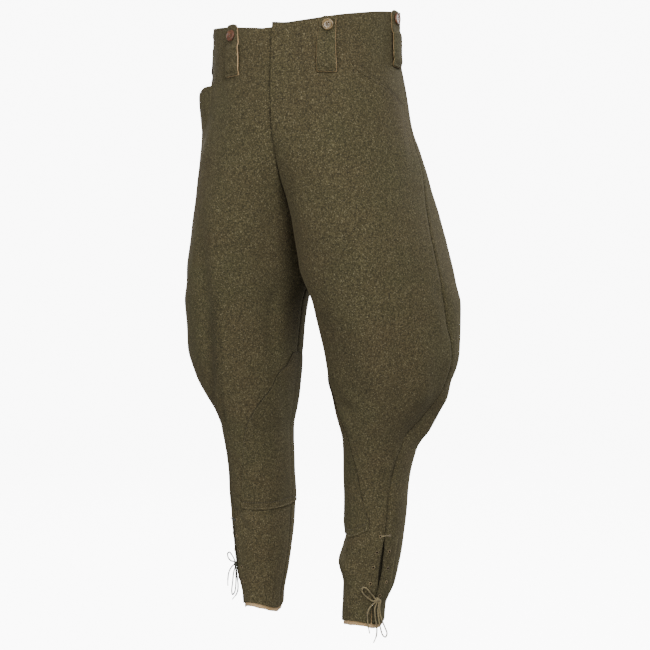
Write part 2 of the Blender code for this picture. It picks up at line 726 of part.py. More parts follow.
def knee_patch(side_name):
    """A patch across the inseam, whose upper edge climbs to a point on the inner thigh."""
    side = SIDES[side_name]
    turns = np.linspace(PATCH_BACK, PATCH_FRONT, PATCH_COLUMNS + 1)
    top = column(PATCH, PATCH_COLUMNS_OF, f"{side_name}_top", turns) * MM
    foot = column(PATCH, PATCH_COLUMNS_OF, f"{side_name}_foot", turns) * MM
    rows = lower_rows()
    rows = rows[(rows < top.max()) & (rows > foot.min())]
    rows = np.concatenate([[top.max()], rows, [foot.min()]])[:, None]
    z = np.clip(rows, foot, top)
    z = np.where(z > top - PATCH_SNAP, top, np.where(z < foot + PATCH_SNAP, foot, z))
    turn = np.radians(turns) + 0.0 * z
    layer(f"knee_patch_{side_name}", side, turn, z, LAY_GAP, LAY_GAP + PATCH_WALL, "wool")


def hem_facing(side_name):
    """A cotton band inside the hem that hangs a little below the wool at the front."""
    side = SIDES[side_name]
    front, _ = panel_places(side, "front")
    back, _ = panel_places(side, "back")
    turns = np.concatenate([front[-1], back[-1, 1:-1]])
    degrees = (np.degrees(turns) + 90) % 360 - 90
    shown = smooth((degrees - FACING_FROM) / FACING_FADE) * smooth((FACING_TO - degrees) / FACING_FADE)
    foot = HEM + FACING_TUCK - (FACING_TUCK + FACING_DROP) * shown
    dip = hem_dip(side, turns)
    z = np.stack([HEM + FACING_HEIGHT + 0.0 * dip, HEM + FACING_TUCK - dip, foot - dip])
    z[1] = np.maximum(z[1], z[2] + 1 * MM)
    turn = turns + 0.0 * z
    high = -WALL - LAY_GAP
    layer(f"hem_facing_{side_name}", side, turn, z, high - FACING_WALL, high, "cotton", True)


def slit_underlap(side_name):
    """A wool strip behind the laced slit, deeper behind it than before it."""
    side = SIDES[side_name]
    z = np.linspace(SLIT_TOP + UNDERLAP_OVER, SLIT_FOOT - UNDERLAP_OVER, UNDERLAP_ROWS + 1)
    shift = (UNDERLAP_WIDTH / 2 - UNDERLAP_FORE) / pace(side, seam_turn(z), z)
    turn, z = across(side, seam_turn(z) + shift, z, UNDERLAP_WIDTH, 7)
    high = -WALL - UNDERLAP_GAP
    layer(f"slit_underlap_{side_name}", side, turn, z, high - UNDERLAP_WALL, high, "wool")


def pocket_facing(side_name):
    """The cloth that shows behind the gaping pocket mouth."""
    side = SIDES[side_name]
    turns = np.radians(np.linspace(POCKET_FORE, POCKET_AFT, 8))
    mouth = mouth_height(turns)
    share = np.linspace(0.0, 1.0, 5)[:, None]
    z = mouth + POCKET_ABOVE - (POCKET_ABOVE + POCKET_BELOW) * share
    turn = turns + 0.0 * z
    high = -WALL - POCKET_GAP
    layer(f"pocket_facing_{side_name}", side, turn, z, high - FACING_WALL, high, "wool")


def fly_underlap():
    """The strip that carries the fly's buttons, behind both fronts."""
    left = np.linspace(0.0, UNDERLAY_LEFT, 5)[1:]
    x = np.concatenate([np.linspace(-UNDERLAY_RIGHT, 0.0, 3), left])[None, :]
    top = rim_height(1, np.radians(90.0)) - UNDERLAY_TOP
    z = np.linspace(top, FLY_FOOT - UNDERLAY_FOOT, 9)[:, None] + 0.0 * x
    x = x + 0.0 * z
    left = turn_at(1, np.maximum(x, 0.0), z)
    right = turn_at(-1, np.maximum(-x, 0.0), z)
    walls = []
    for rise in (-WALL - FLY_GAP, -WALL - FLY_GAP - UNDERLAP_WALL):
        walls.append(np.where(x[..., None] < 0, lift(-1, right, z, rise), lift(1, left, z, rise)))
    slab("fly_underlap", walls[0], walls[1], "wool")


def flowing(points, spacing):
    """A smooth curve through the points, read at even steps: Catmull-Rom pieces."""
    ends = np.concatenate([[2 * points[0] - points[1]], points, [2 * points[-1] - points[-2]]])
    t = np.linspace(0.0, 1.0, 24, endpoint=False)[:, None]
    runs = []
    for a, b, c, d in zip(ends[:-3], ends[1:-2], ends[2:-1], ends[3:]):
        runs.append(
            0.5 * (2 * b + (c - a) * t + (2 * a - 5 * b + 4 * c - d) * t**2 + (3 * b - a - 3 * c + d) * t**3)
        )
    fine = np.concatenate(runs + [points[-1:]])
    gone = np.concatenate([[0.0], np.cumsum(np.linalg.norm(np.diff(fine, axis=0), axis=1))])
    even = np.linspace(0.0, gone[-1], max(int(round(gone[-1] / spacing)), 3) + 1)
    return np.stack([np.interp(even, gone, fine[:, k]) for k in range(3)], axis=1)


def knot_frame(side_name):
    """The knot's middle, and its directions towards the back, up and out."""
    side = SIDES[side_name]
    degrees, height = KNOTS[side_name]
    turn = np.radians(degrees)
    middle = lift(side, turn, height * MM, LAY_GAP + KNOT_SIZE[2] / 2)
    out = facing(side, turn, height * MM, form)
    back = side * np.cross([0.0, 0.0, 1.0], out)
    back /= np.linalg.norm(back)
    return middle, back, side * np.cross(out, back), out


def beside_knot(side_name, degrees, away):
    """Points at the distances in away from the knot's surface, in one direction round it."""
    middle, back, up, _ = knot_frame(side_name)
    angle = np.radians(degrees)
    reach = 0.5 / np.hypot(np.cos(angle) / KNOT_SIZE[0], np.sin(angle) / KNOT_SIZE[1])
    way = np.cos(angle) * back + np.sin(angle) * up
    return middle + (reach + np.array(away))[:, None] * way


def lace(name, side_name, leaves, path, returns):
    """A round lace along a path, straight out of the knot and back into it where an angle is given."""
    turns, heights, out = np.transpose(np.array(path, float))
    route = [lift(SIDES[side_name], np.radians(turns), heights * MM, out * MM)]
    if leaves is not None:
        route.insert(0, beside_knot(side_name, leaves, (SEAM_GAP, KNOT_LEAD)))
    if returns is not None:
        route.append(beside_knot(side_name, returns, (KNOT_LEAD, SEAM_GAP)))
    points = flowing(np.concatenate(route), LACE_STEP)
    name = f"lace_{name}_{side_name}"
    data = bpy.data.curves.new(name, "CURVE")
    data.dimensions = "3D"
    data.bevel_depth = LACE_WIDTH / 2
    data.bevel_resolution = 2
    data.use_fill_caps = True
    spline = data.splines.new("POLY")
    spline.points.add(len(points) - 1)
    for spot, point in zip(spline.points, points):
        spot.co = (*point, 1.0)
    return placed(name, data, "lace")


def lace_knot(side_name):
    """The bow's knot, a small flattened ball lying on the cloth."""
    work = bmesh.new()
    bmesh.ops.create_uvsphere(work, u_segments=10, v_segments=6, radius=0.5)
    mesh = bpy.data.meshes.new(f"lace_knot_{side_name}")
    work.to_mesh(mesh)
    work.free()
    mesh.transform(Matrix.Diagonal((*KNOT_SIZE, 1.0)))
    mesh.shade_smooth()
    knot = placed(f"lace_knot_{side_name}", mesh, "lace")
    middle, _, _, out = knot_frame(side_name)
    knot.location = middle
    knot.rotation_euler = Vector(out).to_track_quat("Z", "Y").to_euler()


def placed(name, data, kind):
    """A new object in the scene with a material of its own."""
    colour, roughness = KINDS[kind]
    material = bpy.data.materials.new(f"{name}_{kind}")
    material.use_nodes = True
    surface = material.node_tree.nodes["Principled BSDF"]
    surface.inputs["Base Color"].default_value = (*colour, 1.0)
    surface.inputs["Roughness"].default_value = roughness
    surface.inputs["Metallic"].default_value = 0.0
    material.diffuse_color = (*colour, 1.0)
    data.materials.append(material)
    obj = bpy.data.objects.new(name, data)
    bpy.context.scene.collection.objects.link(obj)
    return obj


def main():
    for obj in list(bpy.data.objects):
        bpy.data.objects.remove(obj)
    for side_name in SIDES:
        front_panel(side_name)
        back_panel(side_name)
        pocket_facing(side_name)
        knee_patch(side_name)
        hem_facing(side_name)
        slit_underlap(side_name)
        lace_knot(side_name)
    fly_underlap()
    for row in BELT_LOOPS:
        belt_loop(*row)
    for row in LACES:
        lace(*row)


main()
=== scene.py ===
"""Riding breeches of thick heathered wool, filled out as on a wearer, with buttoned belt tabs and laced
calves.

+Z is up, the front faces -Y, the wearer's left is +X and the origin is the middle of the waist ring. Lengths
and heights in the tables are millimetres, and a turn is degrees round one leg from its inner side, over its
front (90) and its outer side (180) to its back (270).
"""

import bpy
import numpy as np
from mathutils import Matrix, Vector


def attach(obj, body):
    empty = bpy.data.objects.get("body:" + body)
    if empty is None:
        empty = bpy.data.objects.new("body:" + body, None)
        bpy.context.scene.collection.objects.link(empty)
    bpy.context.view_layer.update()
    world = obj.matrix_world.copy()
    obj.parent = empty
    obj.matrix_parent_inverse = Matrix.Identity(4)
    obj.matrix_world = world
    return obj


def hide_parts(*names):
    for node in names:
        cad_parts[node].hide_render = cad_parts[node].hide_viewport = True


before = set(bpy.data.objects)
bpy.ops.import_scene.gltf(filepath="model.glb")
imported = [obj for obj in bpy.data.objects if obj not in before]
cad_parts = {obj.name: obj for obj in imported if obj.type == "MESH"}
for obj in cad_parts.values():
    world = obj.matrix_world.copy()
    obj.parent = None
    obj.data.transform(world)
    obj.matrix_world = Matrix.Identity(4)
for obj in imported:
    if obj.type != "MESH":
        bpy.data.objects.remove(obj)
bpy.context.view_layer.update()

MM = 0.001

# The photograph's view: degrees round from straight in front, degrees above the aim, distance and lens.
VIEW_TURN = 22.5
VIEW_RISE = 4.0
VIEW_AWAY = 1.6
VIEW_LENS = 57.6
VIEW_AIM = (0.026, 0.0136, -0.463)

WALL = 1.9 * MM
SEAM_GAP = 0.3 * MM
LAY_GAP = 0.5 * MM

SIDES = {"left": 1, "right": -1}

# At the waist the two halves are one oval. The inner share never counts as less than the least one, and where
# it is under the waist's share, a half reaches inwards by at least the waist's reach, in millimetres.
LEAST_SHARE = 0.02
WAIST_SHARE = 0.05
WAIST_REACH = 150.0

# One leg from the high back waist to below the hem: middle x and y, outer and inner x, front and back y, how
# far the outermost point lies behind the middle, and how much of the front and back reach is left where the
# halves meet in the middle plane, which falls from 1 at the waist to 0 where the legs part. Roundness 2 is an
# ellipse, less is more pointed and more is more square: outer half, inner front of each leg, and inner back.
SECTION_COLUMNS = (
    "z", "mid_x", "mid_y", "out", "inner", "front", "back", "sweep", "notch",
    "round_out", "round_left", "round_right", "round_back",
)
SECTIONS = (
    (60, 0, 0, 144, 0, -106, 108, 0, 1.0, 2.05, 2.0, 2.0, 2.0),
    (0, 0, 0, 144, 0, -110, 112, 0, 1.0, 2.05, 2.0, 2.0, 2.0),
    (-60, 4, 0, 145, 0, -116, 116, 2, 0.9995, 2.05, 2.0, 2.0, 2.0),
    (-130, 20, 0, 154, 0, -121, 124, 8, 0.99, 2.05, 2.3, 2.2, 2.0),
    (-170, 34, 3, 161, 0, -122, 128, 11, 0.96, 2.0, 2.5, 2.3, 2.0),
    (-200, 46, 6, 170, 0, -122, 130, 14, 0.93, 2.0, 2.7, 2.4, 2.0),
    (-235, 60, 10, 180, 0, -120, 131, 20, 0.84, 1.95, 2.8, 2.4, 2.0),
    (-270, 76, 14, 188, 0, -117, 132, 25, 0.67, 1.95, 2.8, 2.4, 2.05),
    (-310, 88, 18, 198, 0, -113, 132, 28, 0.46, 1.9, 2.8, 2.3, 2.1),
    (-345, 97, 22, 207, 0, -107, 131, 30, 0.28, 1.9, 2.8, 2.3, 2.1),
    (-370, 103, 25, 213, 0, -102, 129, 31, 0, 1.9, 2.8, 2.2, 2.1),
    (-400, 109, 27, 220, 8, -95, 127, 32, 0, 1.85, 2.7, 2.1, 2.1),
    (-430, 114, 28, 226, 18, -88, 124, 32, 0, 1.85, 2.6, 2.1, 2.1),
    (-500, 121, 34, 225, 29, -70, 122, 26, 0, 1.85, 2.4, 2.1, 2.1),
    (-550, 119, 40, 211, 35, -56, 122, 22, 0, 1.9, 2.3, 2.1, 2.1),
    (-600, 109, 46, 182, 44, -40, 120, 22, 0, 2.0, 2.2, 2.1, 2.1),
    (-640, 104, 50, 163, 52, -26, 116, 8, 0, 2.0, 2.1, 2.1, 2.1),
    (-700, 99, 52, 151, 51, -14, 108, -6, 0, 2.0, 2.1, 2.1, 2.1),
    (-750, 97, 54, 147, 50, -10, 108, -10, 0, 2.0, 2.1, 2.1, 2.1),
    (-800, 94, 48, 142, 50, -14, 106, -7, 0, 2.0, 2.1, 2.1, 2.1),
    (-860, 90, 36, 131, 52, -12, 86, -2, 0, 2.0, 2.1, 2.1, 2.1),
    (-900, 87, 26, 119, 55, -14, 68, 0, 0, 2.0, 2.1, 2.1, 2.1),
    (-970, 85, 24, 116, 55, -16, 64, 0, 0, 2.0, 2.1, 2.1, 2.1),
)

# The side seam: it lies behind the hip, runs down the fullest line of the thigh and comes forward to the
# laced slit of the calf.
SEAM_COLUMNS = ("z", "turn")
SIDE_SEAM = (
    (60, 190),
    (-140, 188),
    (-200, 180),
    (-280, 167),
    (-360, 159),
    (-420, 158),
    (-455, 160),
    (-490, 165),
    (-550, 169),
    (-580, 166),
    (-601, 160),
    (-622, 152),
    (-660, 143),
    (-720, 137),
    (-790, 133),
    (-860, 134),
    (-911, 138),
    (-970, 139),
)

# The waist edge of each side by the angle from the middle of the front, and the row of the cloth that the
# pocket mouth follows by the turn.
RIM_COLUMNS = ("angle", "left", "right")
RIM = (
    (0, -31, -37),
    (18, -27, -31),
    (36, -20.5, -24),
    (55, -14, -18),
    (80, -6, -9),
    (120, 8, 5),
    (150, 18, 15),
    (180, 21, 21),
)
MOUTH_COLUMNS = ("turn", "z")
MOUTH = (
    (90, -76),
    (134, -74),
    (139, -84),
    (143, -95),
    (149, -103),
    (156, -110),
    (162, -119),
    (170, -129),
    (176, -136),
    (183, -143),
    (225, -125),
    (270, -105),
)

HIP = -200 * MM
FORK = -370 * MM
HEM = -914 * MM
HEM_RISE = {"left": 2 * MM, "right": 8 * MM}
HEM_DIP = {"left": 10 * MM, "right": 13 * MM}
CENTRE_CROWDING = 3.0
LAP_POWER = 8
FOLD_END = 0.3
GAPE = {"left": 3.0 * MM, "right": 16 * MM}
GAPE_DROP = 68 * MM
GAPE_FROM = 139
GAPE_TO = 180
LIP_CLEAR = 3 * MM
LIP_CLIMB = 0.75
# The columns that the pocket mouth cuts, as shares of a front's width, and how softly its two ends begin.
MOUTH_SHARES = (0.5, 0.918)
MOUTH_FADE = 1e-3

FLY_LAP = 1.4 * MM
FLY_FOOT = -170 * MM
FLY_FADE = 40 * MM
FLY_EASE = 22 * MM

SLIT_TOP = -780 * MM
SLIT_FOOT = -862 * MM
SLIT_FADE = 16 * MM

LOOP_WIDTH = 28 * MM
LOOP_WALL = 1.8 * MM
LOOP_FLAT = 26 * MM
LOOP_RAMP = 10 * MM
LOOP_STAND = 2.6 * MM
LOOP_GAP = 0.8 * MM
BACKING = 0.8 * MM
BACKING_EDGE = 0.6 * MM
LOOP_COLUMNS = ("down", "share")
# The rows of a belt loop: the share of the way from its top to its foot, and the share of its width there.
LOOP_ROWS = (
    (0, 0.65),
    (0.03, 0.74),
    (0.1, 0.79),
    (0.3, 0.84),
    (0.42, 0.87),
    (0.62, 0.91),
    (0.86, 0.95),
    (0.95, 0.96),
    (0.99, 0.96),
    (1, 0.84),
)
# Belt loops: where, the side, the turn at the top and at the foot, how far the top stands above the waist
# edge, the foot's height and how far below the top the button lies.
BELT_LOOPS = (
    ("front_left", "left", 121.2, 117.9, -1, -101, 13),
    ("front_right", "right", 119, 113.6, 3, -99, 17),
    ("side_left", "left", 175.5, 175.5, 1, -84, 12),
    ("side_right", "right", 175.5, 175.5, 1, -84, 12),
    ("back_left", "left", 237, 237, 1, -62, 11),
    ("back_right", "right", 237, 237, 1, -62, 11),
)

BUTTON_HOLES = 2.0 * MM
BUTTON_HOLE = 0.85 * MM
BUTTON_HOLE_REACH = BUTTON_HOLE * 1.15
BUTTON_HOLE_SOFT = BUTTON_HOLE * 0.35

# Knee patches by the turn, where below zero is behind the inseam: the height of the upper and lower edges.
PATCH_WALL = 1.2 * MM
PATCH_BACK = -80
PATCH_FRONT = 104
PATCH_COLUMNS = ("turn", "right_top", "right_foot", "left_top", "left_foot")
PATCH = (
    (-80, -746, -758, -770, -784),
    (-75, -696, -758, -718, -784),
    (-65, -646, -758, -668, -784),
    (-45, -588, -758, -610, -784),
    (-22, -536, -758, -552, -784),
    (-10, -510, -758, -524, -784),
    (8, -507, -758, -519, -784),
    (16, -524, -758, -535, -784),
    (28, -537, -758, -552, -785),
    (36, -558, -758, -572, -785),
    (55, -587, -758, -610, -786),
    (69, -611, -758, -650, -784),
    (82, -645, -758, -690, -780),
    (94, -694, -758, -738, -774),
    (104, -744, -758, -757, -770),
)

FACING_WALL = 1.0 * MM
FACING_HEIGHT = 24 * MM
FACING_TUCK = 2 * MM
FACING_DROP = 6.5 * MM
# The turns between which it shows below the hem.
FACING_FROM = -45
FACING_TO = 225
FACING_FADE = 35
FLY_GAP = 1.6 * MM

UNDERLAP_WALL = 1.2 * MM
UNDERLAP_GAP = 0.9 * MM
UNDERLAP_OVER = 10 * MM
UNDERLAP_WIDTH = 46 * MM
UNDERLAP_FORE = 13 * MM
UNDERLAY_RIGHT = 12 * MM
UNDERLAY_LEFT = 33 * MM
UNDERLAY_TOP = 3 * MM
UNDERLAY_FOOT = 8 * MM

POCKET_FORE = 137
POCKET_AFT = 180
POCKET_ABOVE = 22 * MM
POCKET_BELOW = 26 * MM
POCKET_GAP = 1.0 * MM

LACE_WIDTH = 2.2 * MM
KNOT_SIZE = (7.5 * MM, 6.0 * MM, 4.5 * MM)
KNOT_LEAD = 3.0 * MM
# The turn and height of each bow's knot.
KNOTS = {"left": (139, -878), "right": (139, -852)}
# The laces' stretches that show: name and side, the angle at which an end leaves the knot, in degrees from
# its back over its top, the path as turn, height and distance from the cloth, and the angle of its way back.
LACES = (
    ("bar", "left", None, ((125.7, -779, 1.7), (133.7, -778, 1.9), (142.7, -779, 1.7)), None),
    ("bar", "right", None, ((125.7, -779, 1.7), (133.7, -778, 1.9), (142.7, -779, 1.7)), None),
    ("bow_front", "left", 150, (
        (127, -872, 3.0), (118, -865.5, 2.6), (110, -859, 2.4), (103, -857.5, 2.4), (101, -863, 2.4),
        (107, -869, 2.6), (118, -874.5, 2.8), (126, -878.5, 2.8),
    ), 190),
    ("end_front", "left", 226, (
        (128, -888, 2.4), (123, -897, 2.6), (123, -911, 4.5), (127, -928, 8),
    ), None),
    ("end_back", "left", 264, (
        (139, -893, 3.6), (142, -907, 5), (144, -922, 8), (141, -933, 10), (134, -942, 11),
    ), None),
    ("bow_back", "left", 336, (
        (150, -890, 4.6), (155, -905, 6), (163, -922, 10), (167, -933, 13), (162, -938, 13),
        (155, -932, 11), (151, -916, 8), (147.5, -899, 5.6),
    ), 300),
    ("bow_front", "right", 100, (
        (140, -840, 4.8), (146, -833.5, 8), (152, -836, 12), (153, -843, 12), (149, -847.5, 8),
    ), 26),
    ("end_back", "right", 348, ((150, -858, 9), (155, -866, 15), (157, -876, 19.5), (157, -885, 22)), None),
    ("bow_back", "right", 310, (
        (148, -866, 6.4), (152, -880, 12), (153, -894, 17), (150, -901, 16), (146, -893, 11), (142, -878, 6),
    ), 272),
    ("end_front", "right", 226, ((133.4, -868, 3.0), (136, -884, 5), (142, -897, 9), (147, -908, 17)), None),
)

# Folds: the side, how far the cloth stands out (or in, below zero), half the width, and the path as turn and
# height. The first two are the ridge and the trough that hang beside each other down the right thigh.
FOLDS = (
    ("right", 5, 17, ((107, -269), (92, -360), (87, -418), (85, -484), (88, -547), (105, -613))),
    ("right", -7, 15, ((112, -280), (106, -350), (101, -423), (98, -485), (103, -548), (116, -604))),
    ("right", -4, 13, ((36, -395), (36, -431), (34, -496), (32, -535))),
    ("right", -4, 14, ((146, -754), (116, -777), (101, -795), (88, -813))),
    ("left", -4, 16, ((26, -556), (57, -572), (73, -585), (88, -598))),
    ("left", -4, 18, ((113, -420), (119, -498), (122, -535), (125, -562), (132, -592))),
    ("left", 3, 17, ((132, -450), (138, -520), (144, -560), (156, -596))),
    ("left", -3, 13, ((151, -395), (156, -417), (160, -451), (165, -492))),
    ("left", -3, 17, ((180, -568), (162, -602), (151, -623), (156, -650))),
    ("left", -3, 13, ((132, -696), (125, -728), (117, -760))),
    ("left", 8, 19, ((-22, -828), (24, -830), (58, -832), (90, -828))),
    ("left", 8, 22, ((188, -545), (187, -600), (186, -655))),
    ("left", -5, 18, ((228, -520), (250, -560), (275, -580), (298, -572))),
    ("right", -5, 18, ((222, -536), (246, -572), (272, -586), (294, -572))),
    ("left", 4, 18, ((225, -250), (240, -340), (262, -440), (285, -520))),
    ("right", 4, 18, ((228, -240), (244, -330), (266, -430), (290, -510))),
    ("left", -5, 17, ((316, -230), (300, -310), (296, -400), (305, -480))),
    ("right", -5, 17, ((318, -225), (302, -300), (298, -390), (306, -470))),
    ("left", -4, 17, ((200, -612), (226, -650), (250, -664), (276, -650))),
    ("right", -4, 17, ((196, -604), (222, -642), (248, -660), (276, -650))),
)
# Finer creases than the solids have, one row each like the folds: drag lines at the pockets, the fork, the
# knees and the calves, with similar ones on the sides that the photograph doesn't show.
CREASES = (
    ("left", -1.6, 7, ((132, -84), (127, -98), (117, -113), (108, -122))),
    ("left", -1.2, 9, ((93, -261), (85, -283), (73, -306), (58, -322))),
    ("left", -1.8, 6, ((36, -560), (52, -569), (68, -578), (84, -592))),
    ("left", -1.2, 6, ((48, -586), (64, -594), (76, -608), (88, -620))),
    ("left", -1.6, 8, ((118, -462), (121, -500), (124, -545), (131, -594))),
    ("left", -1.1, 7, ((104, -440), (107, -480), (108, -520), (112, -556))),
    ("left", -1.5, 6, ((166, -606), (156, -622), (146, -634), (134, -640))),
    ("left", -1.2, 6, ((150, -640), (144, -664), (139, -690), (130, -712))),
    ("left", -1.0, 6, ((118, -722), (132, -730), (146, -752), (160, -776))),
    ("left", -1.0, 8, ((178, -121), (174, -159), (168, -203), (160, -240))),
    ("left", 0.9, 6, ((88, -760), (74, -800), (66, -836), (58, -866))),
    ("left", -1.1, 7, ((30, -800), (46, -812), (66, -812), (80, -800))),
    ("left", -0.9, 6, ((20, -868), (40, -862), (60, -868), (78, -880))),
    ("right", -2.4, 5, ((82, -440), (84.5, -515), (88, -547), (96, -579), (106, -613), (112, -634))),
    ("left", -3.2, 11, ((-24, -784), (14, -786), (38, -789), (60, -792))),
    ("right", -1.5, 7, ((138, -84), (128, -104), (118, -128), (111, -150))),
    ("right", -1.4, 7, ((101, -333), (95, -400), (93, -468), (97, -530))),
    ("right", -1.9, 6, ((150, -756), (126, -768), (107, -778), (90, -796), (76, -820))),
    ("right", -1.0, 6, ((40, -850), (24, -852), (8, -855), (-12, -861))),
    ("right", -1.3, 8, ((26, -540), (23, -562), (19, -586), (16, -610))),
    ("right", -1.0, 7, ((58, -648), (46, -638), (34, -630), (20, -622))),
    ("right", -1.0, 8, ((94, -700), (80, -688), (62, -676), (44, -668))),
    ("right", -1.1, 6, ((134, -838), (118, -852), (104, -864), (94, -888))),
    ("right", 0.9, 7, ((74, -770), (66, -806), (62, -846), (64, -880))),
    ("right", -1.2, 8, ((164, -590), (150, -612), (132, -632), (114, -640))),
    ("left", -1.4, 8, ((196, -560), (214, -590), (236, -604), (258, -600))),
    ("right", -1.4, 8, ((192, -556), (212, -584), (238, -600), (262, -596))),
    ("left", -1.6, 7, ((226, -640), (248, -650), (272, -648), (296, -634))),
    ("right", -1.6, 7, ((222, -634), (246, -646), (270, -644), (294, -632))),
    ("left", -1.2, 7, ((222, -690), (246, -680), (268, -684), (290, -700))),
    ("right", -1.2, 7, ((224, -684), (244, -676), (266, -678), (292, -694))),
    ("left", -1.5, 9, ((300, -300), (288, -326), (272, -344), (254, -352))),
    ("right", -1.5, 9, ((302, -296), (286, -322), (270, -338), (250, -348))),
    ("left", -1.1, 8, ((206, -140), (202, -190), (196, -250), (192, -310))),
    ("right", -1.1, 8, ((204, -136), (200, -190), (194, -246), (188, -300))),
    ("left", -1.0, 7, ((214, -800), (232, -812), (254, -810), (276, -798))),
    ("right", -1.0, 7, ((212, -792), (234, -806), (252, -806), (274, -794))),
    ("left", -0.9, 7, ((222, -880), (240, -872), (262, -874), (280, -884))),
    ("right", -0.9, 7, ((224, -876), (242, -868), (260, -870), (282, -880))),
)

# Slack of the cloth, as plane waves that cross: wavelength, direction, phase and height. The slower waves
# that bend them have a height and a direction.
WAVES = (
    (118, (0.86, 0.31, 0.41), 0.4, 0.55),
    (87, (-0.42, 0.77, 0.48), 1.9, 0.42),
    (66, (0.55, -0.44, 0.71), 3.1, 0.30),
    (49, (0.71, 0.62, -0.34), 5.2, 0.22),
    (36, (-0.64, 0.36, 0.68), 2.6, 0.14),
)
SLACK_BENDS = ((0.6, (9.0, -7.0, 13.0)), (0.5, (-6.0, 11.0, 21.0)))

# Fine grid of a panel: its columns, and the rows from the waist edge to the pocket mouth's row, to the hip
# and to the hem.
PANEL_COLUMNS = {"front": 92, "back": 104}
UPPER_ROWS = 34
MIDDLE_ROWS = 34
LOWER_ROWS = 250
CROWDING = 0.85
EDGE_ROUND = 0.9 * MM
SEAM_DIP = 0.75 * MM
FLY_CORNER = 2.5 * MM

# How wide the laced slit stands open at each height, besides the seam's own gap.
SLIT_WIDTH_COLUMNS = ("z", "width")
SLIT_WIDTH = (
    (-970, 3.0),
    (-914, 2.2),
    (-900, 1.2),
    (-884, 0.4),
    (-862, 0.6),
    (-850, 2.8),
    (-834, 5.0),
    (-812, 4.0),
    (-794, 2.6),
    (-782, 0.6),
    (-776, 0.0),
    (60, 0.0),
)

# Sewn eyelets of each calf, as turn and height: before the slit and behind it.
EYELETS = (
    (125.7, -779), (121.7, -803), (118.3, -827), (116.3, -852), (119, -875), (124.7, -899),
    (142.7, -779), (146, -804), (148.7, -831), (151.3, -853), (145.3, -874),
)
EYELET_RADIUS = 2.1 * MM
EYELET_CORD = 0.5 * MM
EYELET_STITCHES = 11
EYELET_BULGE = 0.22
EYELET_STAND = 0.1 * MM
EYELET_GRID = (66, 8)
EYELET_HOLE_SIDES = 20
# The outline of an eyelet's dished hole, as radius and height.
EYELET_PROFILE = ((0.05, -0.6), (1.8, -0.6), (1.95, 0.1), (1.6, 0.28), (0.8, 0.14), (0.05, 0.1))

# A stitch's middle lies above the cloth and its ends below, both as shares of the thread's width.
THREAD = 0.55 * MM
THREAD_SIDES = 6
THREAD_END = 0.04
STITCH_POINTS = 5
STITCH_CROWN = 0.45
STITCH_SINK = 0.7
STITCH = 2.6 * MM
STITCH_GAP = 0.9 * MM
STITCH_DIP = 0.4 * MM
STITCH_CHANNEL = 2.4 * MM
BRAID_PITCH = 3.4 * MM

SEAM_REACH = 2.6 * MM
SEAM_RIDGE = 0.3 * MM
SEAM_ALLOWANCE = 7.5 * MM
FLY_CORNER_REACH = 14 * MM
WAIST_LEVEL = -100 * MM
HEM_ROWS = (3.0, 1.9, 1.1, 0.6, 0.25, 0.0)

# Stitch lines: the sides that have one, and its path as turn and height. They are the fly, the pocket bag,
# below the mouth, the mouth's two bar tacks, behind the slit, along its front and back edges, and the hem.
BOTH = ("left", "right")
STITCH_PATHS = (
    (("left",), (
        (104.3, -33), (104.6, -70), (105.0, -119), (103.5, -140), (99.5, -156), (93.5, -166), (89.5, -169),
    )),
    (BOTH, ((146, -171), (156, -171), (166, -168), (173, -163))),
    (BOTH, (
        (139.5, -91), (143, -101), (149, -109.5), (156, -116.5), (162, -125.5), (170, -135.5), (176, -142),
    )),
    (BOTH, ((137.2, -79), (137.2, -87))),
    (BOTH, ((179, -134), (177.5, -144))),
    (BOTH, ((166, -786), (164.7, -810), (164.7, -837), (172, -862), (182, -882), (186, -908))),
    (BOTH, ((129.4, -784), (128.2, -808), (128.0, -832), (129.2, -858))),
    (BOTH, ((138.2, -784), (139.0, -808), (139.6, -832), (139.8, -858))),
    (BOTH, ((4, -894), (40, -892), (90, -892), (127, -892))),
    (BOTH, ((150, -892), (200, -893), (270, -892), (356, -894))),
)
STITCH_LINES = [(side_name, path) for names, path in STITCH_PATHS for side_name in names]
